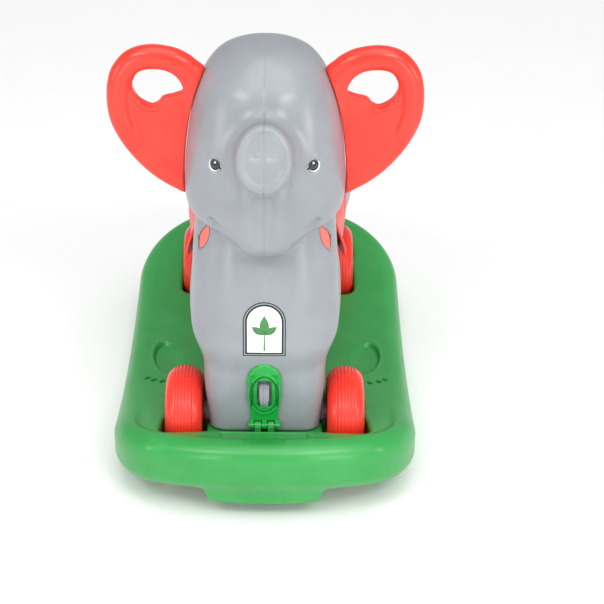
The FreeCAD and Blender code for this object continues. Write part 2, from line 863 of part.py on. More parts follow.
# The rounded shoulder: how much of it is missing across, and how much towards the axle.
SHOULDER_SHARES = [(0.00, 1.00), (0.13, 0.50), (0.50, 0.13), (1.00, 0.00)]


def shoulder(sign, wall, shares):
    """Corners of the tread's shoulder on the outer (+) or inner (-) side, from the face out."""
    return [(f"{sign}({HALF_WHEEL} - {wall} - (Sizes.wheel_shoulder - {wall}) * {across})",
             f"Sizes.wheel_radius - {wall} - (Sizes.wheel_shoulder - {wall}) * {up}")
            for across, up in shares]


WHEEL_OUTSIDE = [(f"-({HALF_WHEEL})", BORE), (DISH_FACE, BORE),
                 (DISH_FACE, "Sizes.wheel_dish_radius"),
                 (HALF_WHEEL, f"Sizes.wheel_dish_radius + {DISH_FLARE}")]
WHEEL_OUTSIDE += shoulder("", "0", SHOULDER_SHARES)
WHEEL_OUTSIDE += shoulder("-", "0", SHOULDER_SHARES)[::-1]
WHEEL_INSIDE = [(f"-({HALF_WHEEL} - Sizes.wheel_wall)", "Sizes.wheel_hub_radius"),
                (DISH_INSIDE, "Sizes.wheel_hub_radius"),
                (DISH_INSIDE, "Sizes.wheel_dish_radius + Sizes.wheel_wall")]
WHEEL_INSIDE += shoulder("", "Sizes.wheel_wall", SHOULDER_SHARES[1:])
WHEEL_INSIDE += shoulder("-", "Sizes.wheel_wall", SHOULDER_SHARES)[::-1]
CAP_OUTSIDE = [
    ("0", BORE),
    ("Sizes.cap_length / 2", BORE),
    ("Sizes.cap_length / 2", "0"),
    ("Sizes.cap_length", "0"),
    ("Sizes.cap_length", "Sizes.cap_radius - Sizes.cap_round"),
    ("Sizes.cap_length - Sizes.cap_round", "Sizes.cap_radius"),
    ("0", "Sizes.cap_radius"),
]
SPACER = [
    ("0", BORE),
    ("Sizes.wheel_inner_face - Sizes.leg_half_width - 2 * Sizes.part_gap", BORE),
    ("Sizes.wheel_inner_face - Sizes.leg_half_width - 2 * Sizes.part_gap", "Sizes.spacer_radius"),
    ("0", "Sizes.spacer_radius"),
]
AXLE_END = ("Sizes.wheel_inner_face + Sizes.wheel_width - Sizes.wheel_dish_depth"
            " + Sizes.part_gap + Sizes.cap_length / 2")
FACING_OUT = {"left": Rotation(Vector(0, 0, 1), 180), "right": Rotation()}
for end, along in (("front", "-Sizes.axle_spread"), ("rear", "Sizes.axle_spread")):
    axle = turned_piece(f"{end}_axle", [[
        (f"-({AXLE_END})", "0"), (AXLE_END, "0"),
        (AXLE_END, "Sizes.axle_radius"), (f"-({AXLE_END})", "Sizes.axle_radius")]])
    put(axle, "0", along, "Sizes.axle_height")
    for name, sign in (("left", "-"), ("right", "")):
        wheel = turned_piece(f"wheel_{end}_{name}", [WHEEL_OUTSIDE, WHEEL_INSIDE])
        put(wheel, f"{sign}(Sizes.wheel_inner_face + Sizes.wheel_width / 2)", along,
            "Sizes.axle_height", FACING_OUT[name])
        cap = turned_piece(f"axle_cap_{end}_{name}", [CAP_OUTSIDE])
        put(cap, f"{sign}({AXLE_END} - Sizes.cap_length / 2)", along, "Sizes.axle_height",
            FACING_OUT[name])
        spacer = turned_piece(f"wheel_spacer_{end}_{name}", [SPACER])
        put(spacer, f"{sign}(Sizes.leg_half_width + Sizes.part_gap)", along,
            "Sizes.axle_height", FACING_OUT[name])


# The latch: a hinged plate on the base whose slot passes over the knob on the chest.

HINGE_Y = "-(Sizes.chest_reach + Sizes.latch_gap + Sizes.hinge_radius + Sizes.part_gap)"
PLATE_BACK = "Sizes.hinge_radius + Sizes.part_gap"
KNOB_RISE = "(Sizes.knob_height - Sizes.hinge_height)"

latch = new_body("latch")
outline = new_sketch(latch, "latch_outline", "XZ_Plane")
LATCH_RIGHT_SHARES = [
    # out over the half width, up over the rise
    (0.89, 0.22), (1.00, 0.33), (1.00, 0.72), (0.75, 0.86), (0.42, 0.97),
]
right_side = [("Sizes.latch_neck_half_width", "0")]
right_side += [(f"Sizes.latch_half_width * {out}", f"Sizes.latch_rise * {up}")
               for out, up in LATCH_RIGHT_SHARES]
left_side = [(f"-({out})", up) for out, up in reversed(right_side)]
add_loop(outline, right_side + [("0", "Sizes.latch_rise")] + left_side)
pad(latch, outline, "Sizes.latch_thickness", "latch_plate")
frame_sketch = new_sketch(latch, "latch_frame_outline", "XZ_Plane")
add_loop(frame_sketch, box_corners(
    "-(Sizes.latch_slot_half_width + Sizes.latch_frame)",
    "Sizes.latch_slot_half_width + Sizes.latch_frame",
    f"{KNOB_RISE} - Sizes.latch_slot_half_height - Sizes.latch_frame",
    f"{KNOB_RISE} + Sizes.latch_slot_half_height + Sizes.latch_frame"))
pad(latch, frame_sketch, "Sizes.latch_thickness + Sizes.latch_frame_height", "latch_frame_rim")
slot_sketch = new_sketch(latch, "latch_slot_outline", "XZ_Plane")
add_loop(slot_sketch, box_corners(
    "-Sizes.latch_slot_half_width", "Sizes.latch_slot_half_width",
    f"{KNOB_RISE} - Sizes.latch_slot_half_height",
    f"{KNOB_RISE} + Sizes.latch_slot_half_height"))
pocket(latch, slot_sketch, "2 * Sizes.overrun", "latch_slot", midplane=True)
barrel_sketch = new_sketch(latch, "latch_barrel_circle", "YZ_Plane")
add_circle(barrel_sketch, f"-({PLATE_BACK})", "0", "Sizes.hinge_radius")
pad(latch, barrel_sketch, "2 * Sizes.hinge_half_width", "latch_barrel", midplane=True)
for name, sign in (("left", "-"), ("right", "")):
    gap_sketch = new_sketch(latch, f"latch_gap_{name}", "XZ_Plane")
    edges = (f"{sign}Sizes.hinge_middle_half", f"{sign}Sizes.hinge_outer_start")
    add_loop(gap_sketch, box_corners(edges[0], edges[1], "-Sizes.hinge_radius - Sizes.part_gap",
                                     "Sizes.hinge_radius + Sizes.part_gap"))
    pocket(latch, gap_sketch, "4 * Sizes.overrun", f"latch_cleft_{name}", midplane=True)
bore_sketch = new_sketch(latch, "latch_bore_circle", "YZ_Plane")
add_circle(bore_sketch, f"-({PLATE_BACK})", "0", "Sizes.hinge_pin_radius + Sizes.running_gap")
pocket(latch, bore_sketch, "4 * Sizes.hinge_half_width", "latch_bore", midplane=True)
put(latch, "0", "-(Sizes.chest_reach + Sizes.latch_gap)", "Sizes.hinge_height")

pin = turned_piece("latch_hinge_pin", [[
    ("-Sizes.hinge_half_width", "0"), ("Sizes.hinge_half_width", "0"),
    ("Sizes.hinge_half_width", "Sizes.hinge_pin_radius"),
    ("-Sizes.hinge_half_width", "Sizes.hinge_pin_radius")]])
put(pin, "0", HINGE_Y, "Sizes.hinge_height")


# The lock knob: a ribbed half disc on a stem that turns in the chest, with a clip inside.

FRAME_FRONT = "(Sizes.latch_gap + Sizes.latch_thickness + Sizes.latch_frame_height)"

knob = new_body("lock_knob")
disc_sketch = new_sketch(knob, "knob_disc", "YZ_Plane")
add_circle(disc_sketch, "0", "0", "Sizes.knob_radius")
pad(knob, disc_sketch, "Sizes.knob_width", "knob_thumb_disc", midplane=True)
back_sketch = new_sketch(knob, "knob_back", "YZ_Plane")
add_loop(back_sketch, box_corners("0", "Sizes.knob_radius + Sizes.overrun",
                                  "-Sizes.knob_radius - Sizes.overrun",
                                  "Sizes.knob_radius + Sizes.overrun"))
pocket(knob, back_sketch, "Sizes.knob_width + Sizes.overrun", "knob_half", midplane=True)
for index in range(int(size("knob_groove_count"))):
    groove_sketch = new_sketch(knob, f"knob_groove_{index + 1}", "XZ_Plane")
    step = index - (size("knob_groove_count") - 1) / 2
    add_loop(groove_sketch, box_corners(
        f"Sizes.knob_groove_pitch * ({step}) - Sizes.knob_groove_width / 2",
        f"Sizes.knob_groove_pitch * ({step}) + Sizes.knob_groove_width / 2",
        "Sizes.knob_radius - Sizes.knob_groove_depth", "Sizes.knob_radius + Sizes.overrun"))
    turn(knob, groove_sketch, f"knob_groove_cut_{index + 1}", "PartDesign::Groove")
stem_sketch = new_sketch(knob, "knob_stem_circle", "XZ_Plane")
add_circle(stem_sketch, "0", "0", "Sizes.knob_stem_radius")
STEM = f"{FRAME_FRONT} + 2 * Sizes.part_gap + Sizes.skin + 2 * Sizes.clip_thickness"
pad(knob, stem_sketch, STEM, "knob_stem", reverse=True)
put(knob, "0", f"-(Sizes.chest_reach + {FRAME_FRONT} + Sizes.part_gap)", "Sizes.knob_height")

clip = new_body("knob_clip")
clip_sketch = new_sketch(clip, "clip_ring", "XZ_Plane")
add_circle(clip_sketch, "0", "0", "Sizes.clip_radius")
add_circle(clip_sketch, "0", "0", "Sizes.knob_stem_radius")
pad(clip, clip_sketch, "Sizes.clip_thickness", "clip_disc", reverse=True)
put(clip, "0", "-(Sizes.chest_reach - Sizes.skin - Sizes.part_gap)", "Sizes.knob_height")

doc.recompute()


# Every object is checked before a file is written.

NODES = [piece for piece in doc.Objects
         if piece.TypeId in ("PartDesign::Body", "Part::Feature")]
for item in doc.Objects:
    if "Invalid" in item.State or "Error" in item.State:
        raise RuntimeError(f"{item.Label} did not recompute: {item.State}")
for piece in NODES:
    if piece.Shape.isNull() or not piece.Shape.isValid() or not piece.Shape.Solids:
        raise RuntimeError(f"{piece.Label} has no sound solid")
os.makedirs("parts", exist_ok=True)
for piece in NODES:
    piece.Shape.exportStep(f"parts/{piece.Label}.step")
    box = piece.Shape.BoundBox
    print(f"{piece.Label}: {len(piece.Shape.Solids)} solid(s), {piece.Shape.Volume:.0f} mm3, "
          f"x {box.XMin:.1f}..{box.XMax:.1f}, y {box.YMin:.1f}..{box.YMax:.1f}, "
          f"z {box.ZMin:.1f}..{box.ZMax:.1f}")
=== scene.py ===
# %% [markdown]
# # A ride-on elephant in its rocker base
# The toy is a grey blow-moulded elephant on four wheels, and the wheels stand in the wells of a
# green rocker base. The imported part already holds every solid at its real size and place. This
# lesson dresses that part: it loads the solids first and never moves them, then makes the soft
# moulded forms and the finishes that a solid model leaves out.

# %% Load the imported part
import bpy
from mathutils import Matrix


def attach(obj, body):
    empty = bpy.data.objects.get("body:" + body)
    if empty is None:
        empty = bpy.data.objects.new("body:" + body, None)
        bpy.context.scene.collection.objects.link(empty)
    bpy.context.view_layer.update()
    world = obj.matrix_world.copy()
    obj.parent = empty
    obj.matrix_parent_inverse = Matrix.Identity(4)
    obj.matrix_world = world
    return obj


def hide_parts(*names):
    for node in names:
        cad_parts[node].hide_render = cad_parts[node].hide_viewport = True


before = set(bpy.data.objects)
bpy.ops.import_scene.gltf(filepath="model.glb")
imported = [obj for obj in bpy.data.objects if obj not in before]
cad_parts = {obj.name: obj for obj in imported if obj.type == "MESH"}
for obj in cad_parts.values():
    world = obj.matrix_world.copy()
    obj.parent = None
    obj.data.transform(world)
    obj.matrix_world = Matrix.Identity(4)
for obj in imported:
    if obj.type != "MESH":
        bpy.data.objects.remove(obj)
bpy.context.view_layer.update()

import bpy
import numpy as np
from mathutils import Matrix, Vector

MM = 0.001

# %% [markdown]
# Blow-moulded plastic has no sharp edges and no separate parts: everywhere one form melts into
# the next, because soft plastic was blown against a cool mould. Boxes with bevels can't do that.
# So each moulded shell is written as a field: a function that is negative inside the form, zero
# on its surface and positive outside. Two fields melt together with a smooth minimum, and one is
# carved from another with a smooth maximum. All sizes in the fields are millimetres.

# %% Fields: melt together and carve
def melt(first, second, width):
    """The union of two forms, with a fillet about as wide as width."""
    mix = np.clip(0.5 + 0.5 * (second - first) / width, 0, 1)
    return second + (first - second) * mix - width * mix * (1 - mix)


def keep_both(first, second, width):
    """What two forms share, with its edges rounded."""
    return -melt(-first, -second, width)


def carve(form, tool, width):
    return keep_both(form, -tool, width)


def fade(value, start, end):
    """0 before start, 1 after end, and a smooth climb between them."""
    share = np.clip((value - start) / (end - start), 0, 1)
    return share * share * (3 - 2 * share)


# %% Fields: the simple forms
def egg(x, y, z, centre, radii):
    across, along, up = x - centre[0], y - centre[1], z - centre[2]
    near = np.sqrt((across / radii[0]) ** 2 + (along / radii[1]) ** 2 + (up / radii[2]) ** 2)
    slope = np.sqrt((across / radii[0] ** 2) ** 2 + (along / radii[1] ** 2) ** 2
                    + (up / radii[2] ** 2) ** 2)
    return near * (near - 1) / np.maximum(slope, 1e-6)


def rod(x, y, z, start, end, start_radius, end_radius):
    """A round rod whose radius changes from one end to the other."""
    start, end = np.array(start, float), np.array(end, float)
    line = end - start
    across, along, up = x - start[0], y - start[1], z - start[2]
    way = np.clip((across * line[0] + along * line[1] + up * line[2]) / (line @ line), 0, 1)
    gap = np.sqrt((across - way * line[0]) ** 2 + (along - way * line[1]) ** 2
                  + (up - way * line[2]) ** 2)
    return gap - (start_radius + (end_radius - start_radius) * way)


def bar(across, up, radius):
    """An endless round bar, from the distances across and up to its middle line."""
    return np.sqrt(across ** 2 + up ** 2) - radius


def corner_gap(first, second):
    """Distance to the corner where two walls meet; each value is the distance to one wall."""
    return (np.sqrt(np.maximum(first, 0) ** 2 + np.maximum(second, 0) ** 2)
            + np.minimum(np.maximum(first, second), 0))


def plan(x, y, half_width, half_length, corner):
    """A rectangle with round corners, seen along the third axis."""
    return corner_gap(np.abs(x) - half_width + corner, np.abs(y) - half_length + corner) - corner


def plate(outline, height, half_height, edge):
    """An outline with a thickness and rolled edges."""
    return corner_gap(outline + edge, np.abs(height) - half_height + edge) - edge


# %% Fields: a value that follows a table
def follow(place, places, values):
    """A smooth curve through a table's rows. It runs straight on past both ends."""
    places, values = np.array(places, float), np.array(values, float)
    steps = np.diff(places)
    rises = np.diff(values) / steps
    slopes = np.concatenate([[rises[0]], (rises[:-1] + rises[1:]) / 2, [rises[-1]]])
    slopes[1:-1] = np.where(rises[:-1] * rises[1:] <= 0, 0,
                            2 * rises[:-1] * rises[1:] / (rises[:-1] + rises[1:] + 1e-12))
    index = np.clip(np.searchsorted(places, place, side="right") - 1, 0, len(steps) - 1)
    step = steps[index]
    way = (place - places[index]) / step
    inner = np.clip(way, 0, 1)
    low, high = values[index], values[index + 1]
    curve = (low * (1 + 2 * inner) * (1 - inner) ** 2 + high * inner ** 2 * (3 - 2 * inner)
             + step * (slopes[index] * inner * (1 - inner) ** 2
                       - slopes[index + 1] * inner ** 2 * (1 - inner)))
    return curve + (way - inner) * step * np.where(way < 0, slopes[index], slopes[index + 1])


def columns(place, rows):
    """What a table's other columns say at a place in its first column."""
    places, *values = np.array(rows, float).T
    return [follow(place, places, each) for each in values]


def stack(x, y, z, rows, middle, power):
    """Ovals stacked along z. A row: height, half width, depth in front, depth behind.
    The first and last rows have no width, so both ends close in a round pole."""
    heights, widths, fronts, rears = np.array(rows, float).T
    width_squared = follow(z, heights, widths ** 2)
    held = np.clip(z, heights[1], heights[-2])
    front_ratio = follow(held, heights[1:-1], widths[1:-1] / fronts[1:-1])
    rear_ratio = follow(held, heights[1:-1], widths[1:-1] / rears[1:-1])
    ratio = np.where(y < middle, front_ratio, rear_ratio)
    reach = (np.abs(x) ** power + (np.abs(y - middle) * ratio) ** power) ** (2 / power)
    least_width = 20
    return (reach - width_squared) / (2 * np.sqrt(np.maximum(width_squared, least_width ** 2)))


# %% [markdown]
# A field has to become faces. The method is a surface net: the space is cut into small cells,
# every cell that the surface passes through gets one point, and the points of four neighbouring
# cells make a face. Cells may be finer where a form has small detail, such as round the eyes.
# Last, each point slides along the field's slope until it lies on the true surface.

# %% From a field to a mesh
def net(values, planes):
    """Points and faces of the surface where the values change sign."""
    inside = values < 0
    corners = [(i, j, k) for i in (0, 1) for j in (0, 1) for k in (0, 1)]
    shape = np.array(values.shape) - 1
    count = sum(inside[i:i + shape[0], j:j + shape[1], k:k + shape[2]].astype(np.int8)
                for i, j, k in corners)
    cells = np.argwhere((count > 0) & (count < 8))
    number = np.full(shape, -1, np.int32)
    number[tuple(cells.T)] = np.arange(len(cells))
    total, hits = np.zeros((len(cells), 3)), np.zeros(len(cells))
    for corner in corners:
        for axis in range(3):
            if corner[axis]:
                continue
            near = cells + corner
            far = near + np.eye(3, dtype=int)[axis]
            first, second = values[tuple(near.T)], values[tuple(far.T)]
            crossed = (first < 0) != (second < 0)
            share = np.where(crossed, first / np.where(crossed, first - second, 1), 0)
            place = np.stack([planes[d][near[:, d]] for d in range(3)], 1)
            place[:, axis] += share * (planes[axis][far[:, axis]] - planes[axis][near[:, axis]])
            total += place * crossed[:, None]
            hits += crossed
    faces = []
    for axis in range(3):
        across, up = (axis + 1) % 3, (axis + 2) % 3
        low = np.take(inside, range(shape[axis]), axis)
        high = np.take(inside, range(1, shape[axis] + 1), axis)
        places = np.argwhere(low != high)
        within = ((places[:, across] > 0) & (places[:, across] < shape[across])
                  & (places[:, up] > 0) & (places[:, up] < shape[up]))
        places = places[within]
        ring = []
        for step_across, step_up in ((0, 0), (-1, 0), (-1, -1), (0, -1)):
            cell = places.copy()
            cell[:, across] += step_across
            cell[:, up] += step_up
            ring.append(number[tuple(cell.T)])
        ring = np.stack(ring, 1)
        faces.append(np.where(low[tuple(places.T)][:, None], ring, ring[:, ::-1]))
    return total / hits[:, None], np.concatenate(faces)


def settle(points, field, rounds=3, reach=1.5, probe=0.02):
    """Slides points along the field's slope onto its surface."""
    for _ in range(rounds):
        value = field(*points.T)
        slope = np.stack([(field(*(points + step).T) - field(*(points - step).T)) / (2 * probe)
                          for step in np.eye(3) * probe], 1)
        move = value / np.maximum((slope ** 2).sum(1), 1e-4)
        shift = slope * move[:, None]
        length = np.sqrt((shift ** 2).sum(1))
        points = points - shift * np.minimum(1, reach / np.maximum(length, 1e-9))[:, None]
    return points


def add_piece(name, data):
    """A new object at the origin that shows a mesh, a light or a camera."""
    piece = bpy.data.objects.new(name, data)
    bpy.context.scene.collection.objects.link(piece)
    return piece


def make_mesh(name, points, faces):
    """A smooth piece from points in millimetres and rows of point numbers."""
    mesh = bpy.data.meshes.new(name)
    mesh.from_pydata((points * MM).tolist(), [], faces.tolist())
    mesh.polygons.foreach_set("use_smooth", [True] * len(mesh.polygons))
    return add_piece(name, mesh)


def sculpt(name, field, planes):
    """A moulded piece from a field in millimetres."""
    planes = [np.asarray(each, float) for each in planes]
    grid = np.meshgrid(*planes, indexing="ij", sparse=True)
    values = np.broadcast_to(field(*grid), [len(each) for each in planes])
    points, faces = net(values, planes)
    points = settle(points, field)
    print(f"{name}: {len(faces)} faces, surface net of {values.size} cells")
    return make_mesh(name, points, faces)


def spaced(*stops):
    """Cell planes: each pair of stops is followed by the spacing between them."""
    runs = [np.arange(stops[i], stops[i + 2], stops[i + 1]) for i in range(0, len(stops) - 1, 2)]
    return np.concatenate(runs + [[stops[-1]]])

# %% [markdown]
# The elephant is one skin: head, curled trunk, jaw, neck, flanks, rump and the block of its legs.
# Each form is a short table of widths and depths at a few heights, or an egg, and they melt
# together over fillets of 10 to 40 mm, as blown plastic does. A modelled cage with subdivision
# could do this too, but a cage hides its sizes in control points, and here each size can be read.

# %% The elephant: its main forms
DECK_LOW, DECK_RADIUS = 64, 870
AXLE_Y, AXLE_Z = 193.5, 88
HEAD_ROWS = [
    # height, half width, depth in front, depth behind, in mm
    (364, 0, 0, 0), (367, 52, 62, 55), (371.5, 75, 84, 76), (379, 89, 97, 90), (390, 95, 104, 98),
    (405, 96.8, 106, 101), (439, 95, 103.5, 105), (470, 91.5, 98.5, 106), (505, 85.5, 89, 103),
    (540, 74.5, 74, 90), (562.5, 60, 55, 68), (578, 37, 31, 37), (584.8, 0, 0, 0),
]
HEAD_MIDDLE = -158
NECK_ROWS = [
    # height, half width, front, rear
    (196, 87, -241, -30), (228, 88.5, -242, -44), (274, 89.5, -242, -56),
    (320, 88.5, -235, -60), (351, 86, -227, -70), (382, 83, -220, -80), (420, 78, -213, -84),
]
FLANK_ROWS = [
    # place along the body, half width
    (-242, 84), (-190, 87), (-110, 91), (-24, 94), (60, 103), (125, 113), (180, 114), (262, 108),
]
FLANK_MIDDLE, FLANK_REACH, FLANK_RISE = (10, 240), 252, 65
TRUNK_ROWS = [
    # way from root to tip, half width, half height
    (0, 46, 58), (37, 38, 46), (66, 33, 41), (91, 31.5, 39), (106, 31.8, 39.6),
]
TRUNK_ROOT, TRUNK_TIP = (-205, 458), (-302, 501)
TRUNK_TILT = np.radians(27)


def deck(y):
    return DECK_LOW + DECK_RADIUS - np.sqrt(DECK_RADIUS ** 2 - y ** 2)


def foot_sink(y):
    """The front feet stand this much lower, in a tray of the deck."""
    return 6.8 * fade(-y, 112, 124)


def leg_block(x, y, z):
    """Both pairs of legs: full beside the wheels, drawn in under the belly."""
    mould = plan(x, y - 7, follow(z, (60, 100, 125, 150, 200), (68, 70.5, 73.5, 76, 76.5)),
                 249, follow(z, (90, 150), (24, 34)))
    belly = egg(np.abs(x), y, z, (112, -2, 84), (44.5, 104, 92))
    form = keep_both(mould, z - 218, 14)
    form = carve(form, belly, 16)
    boss = bar(np.abs(y) - AXLE_Y, z - AXLE_Z, 14)
    form = melt(form, keep_both(boss, np.abs(x) - 77, 2), 5)
    return keep_both(form, deck(y) + 0.4 - foot_sink(y) - z, 3)


def loaf(across, along, up, half_width, reach, rise):
    """A rounded loaf: nearly oval in its cross section, and squarer in its length."""
    section, length = 2.4, 5.5
    parts = [(across / half_width) ** section, (up / rise) ** section, (along / reach) ** length]
    total = np.maximum(parts[0] + parts[1] + parts[2], 1e-6)
    near = total ** (1 / section)
    slope = near / total * np.sqrt((parts[0] / np.maximum(across, 1)) ** 2
                                   + (parts[1] / np.maximum(up, 1)) ** 2
                                   + (parts[2] * length / section / np.maximum(along, 1)) ** 2)
    return (near - 1) / np.maximum(slope, 1 / 150)


def flanks(x, y, z):
    """The barrel under the saddle, the thighs over the rear wheels and the shoulders in front."""
    [half_width] = columns(y, FLANK_ROWS)
    along, up = np.abs(y - FLANK_MIDDLE[0]), np.abs(z - FLANK_MIDDLE[1])
    barrel = loaf(np.abs(x), along, up, half_width, FLANK_REACH, FLANK_RISE)
    thigh = egg(np.abs(x), y, z, (58, 165, 236), (60, 76, 40))
    shoulder = egg(np.abs(x), y, z, (40, -160, 236), (44, 70, 56))
    return melt(melt(barrel, thigh, 20), shoulder, 20)


def neck(x, y, z):
    half, front, rear = columns(z, NECK_ROWS)
    form = plan(x, y - (front + rear) / 2, half, (rear - front) / 2, 56)
    return keep_both(keep_both(form, NECK_ROWS[0][0] - z, 26), z - 430, 26)


def trunk_axes(y, z):
    """Distance out along the curled trunk from its root, and height across it."""
    out = (TRUNK_ROOT[0] - y) * np.cos(TRUNK_TILT) + (z - TRUNK_ROOT[1]) * np.sin(TRUNK_TILT)
    up = (y - TRUNK_ROOT[0]) * np.sin(TRUNK_TILT) + (z - TRUNK_ROOT[1]) * np.cos(TRUNK_TILT)
    return out, up


def trunk(x, y, z):
    out, up = trunk_axes(y, z)
    tip_out, tip_up = trunk_axes(*np.array(TRUNK_TIP, float))
    half_width, half_height = columns(out / tip_out * TRUNK_ROWS[-1][0], TRUNK_ROWS)
    lift = tip_up * np.clip(out / tip_out, 0, 1)
    ring = np.sqrt((x / half_width) ** 2 + ((up - lift) / half_height) ** 2)
    form = (ring - 1) * np.minimum(half_width, half_height)
    form = keep_both(form, out - tip_out, 9)
    dish = np.sqrt((x / 25.2) ** 2 + ((up - tip_up + 0.5) / 30.6) ** 2)
    form = carve(form, keep_both((dish - 1) * 25, tip_out - 2.6 - out, 4), 1.4)
    nostril = egg(np.abs(x), out, up, (9.5, tip_out - 2.2, tip_up + 3), (4, 2.2, 4.6))
    form = carve(form, nostril, 2)
    return keep_both(form, -out - 20, 8)


# %% The elephant: the face's smaller forms
EYE = np.array([56.5, -240.5, 465])
EYE_OUT = np.array([0.44, -0.88, 0.16])
MOUTH_CORNER, MOUTH_END = (50.5, -250, 383.5), (61.5, -243, 391)


def muzzle(x, y, z):
    """The upright band from the chin to the underside of the trunk, with round edges."""
    front = follow(z, (350, 372, 400, 440, 480), (-258, -268, -272, -278, -288))
    form = plan(x, y - (front - 190) / 2, 25, (-190 - front) / 2, 11)
    return keep_both(keep_both(form, 356 - z, 12), z - 486, 10)


def face(x, y, z):
    """Head, jaw and trunk with the band below the trunk."""
    form = stack(x, y, z, HEAD_ROWS, HEAD_MIDDLE, 2.25)
    form = form + 1.3 * np.exp(-(x / 11) ** 2) * fade(z, 480, 520) * fade(-z, -575, -545)
    jaw = egg(x, y, z, (0, -206, 400), (65, 65, 59))
    form = melt(form, jaw, 5)
    form = melt(form, muzzle(x, y, z), 16)
    band = plan(x, y + 282, 13, 9, 6)
    form = carve(form, keep_both(band, z - 462, 8), 6)
    return melt(form, trunk(x, y, z), 16)


LEAF = (72.5, 351)
LEAF_HALF_WIDTH, LEAF_HALF_LENGTH = 4.8, 19
LEAF_LEAN = np.radians(20)


def leaf(x, z):
    """The outline of the slots that look like leaves, one on each side of the neck."""
    across = (np.abs(x) - LEAF[0]) * np.cos(LEAF_LEAN) + (z - LEAF[1]) * np.sin(LEAF_LEAN)
    along = (z - LEAF[1]) * np.cos(LEAF_LEAN) - (np.abs(x) - LEAF[0]) * np.sin(LEAF_LEAN)
    bow = (LEAF_HALF_LENGTH ** 2 + LEAF_HALF_WIDTH ** 2) / (2 * LEAF_HALF_WIDTH)
    return np.sqrt((np.abs(across) + bow - LEAF_HALF_WIDTH) ** 2 + along ** 2) - bow


def trunkless(x, y, z):
    """Flanks, neck and legs, without the head."""
    form = melt(flanks(x, y, z), neck(x, y, z), 24)
    return melt(form, leg_block(x, y, z), 20)


def elephant(x, y, z):
    side = np.abs(x)
    form = melt(trunkless(x, y, z), face(x, y, z), 5)
    form = carve(form, egg(side, y, z, EYE + EYE_OUT * 9, (12.5, 12.5, 11.5)), 3)
    form = melt(form, egg(side, y, z, EYE - EYE_OUT * 8.2, (8.2, 8.2, 8)), 1.5)
    form = melt(form, rod(side, y, z, (48, -242, 471), (63, -235, 474), 1.6, 1.0), 3)
    form = carve(form, rod(side, y, z, MOUTH_CORNER, MOUTH_END, 4.4, 6.6), 4)
    slot = np.maximum(leaf(x, z), np.maximum(-4.8 - neck(x, y, z), y + 190))
    form = carve(form, slot, 1.6)
    form = melt(form, rod(x, y, z, (0, 252, 268), (0, 261, 200), 8, 6), 8)
    seam = 1 - fade(side, 0.2, 1.2)
    badge_rest = fade(np.abs(z - 247), 37, 42)
    return form + seam * (0.75 * fade(z, 330, 350) - 0.4 * (1 - fade(z, 300, 330)) * badge_rest)


elephant_shell = sculpt("elephant_shell", elephant, (
    spaced(-122.5, 2.6, -72, 1.7, -47, 2.4, -2.4, 0.8, 2.4, 2.4, 47, 1.7, 72, 2.6, 122.6),
    spaced(-322, 2.2, -196, 3.6, 272), spaced(60, 3.2, 340, 2.2, 594)))

# %% [markdown]
# The rocker base is blow-moulded too: a double wall whose top is a dished deck with a fat rolled
# rim, and whose underside is the curve that it rocks on. The wells for the wheels, the channels
# for the axles, the tray for the front feet, the pad and the footprints are pressed into the deck.
# A field gives all these their soft edges at once, which separate cutters and bevels would not.

# %% The rocker base: outline, deck and rocking face
ROCKER_RADIUS, REST_FLAT = 1000, 30
RIM_HALF_WIDTH, RIM_REACH = 195, 320
FRONT_RADIUS, FRONT_CORNER, REAR_CORNER = 400, 60, 135
SOLE = (138, -34, 19, 41)  # place across, place along, half width, half length
TOES = [(128, -103), (139, -99.5), (151, -96), (160, -90.5)]
PAD = (54, -264, -293)  # half width, rear edge, front edge
TRAY_MIDDLE, TRAY_HALF_WIDTH, TRAY_HALF_LENGTH, TRAY_SINK = -187, 78, 71, 7.6
WELL_MIDDLE, WELL_HALF_WIDTH, WELL_HALF_LENGTH, WELL_FLOOR = 103.25, 30.25, 65, 28
CHANNEL_RADIUS, CHANNEL_REACH = 14.6, 74
UNDER_EDGE = 19


def base_outline(x, y):
    """Distance outside the base's edge, seen from above."""
    rear = corner_gap(np.abs(x) - RIM_HALF_WIDTH + REAR_CORNER, y - RIM_REACH + REAR_CORNER)
    disc = np.sqrt(x ** 2 + (y - FRONT_RADIUS + RIM_REACH) ** 2)
    front = corner_gap(np.abs(x) - RIM_HALF_WIDTH + FRONT_CORNER,
                       disc - FRONT_RADIUS + FRONT_CORNER)
    return np.where(y > 0, rear - REAR_CORNER, front - FRONT_CORNER)


def rocking_face(y):
    sink = REST_FLAT ** 2 / (2 * ROCKER_RADIUS)
    return np.maximum(ROCKER_RADIUS - sink - np.sqrt(ROCKER_RADIUS ** 2 - y ** 2), 0)


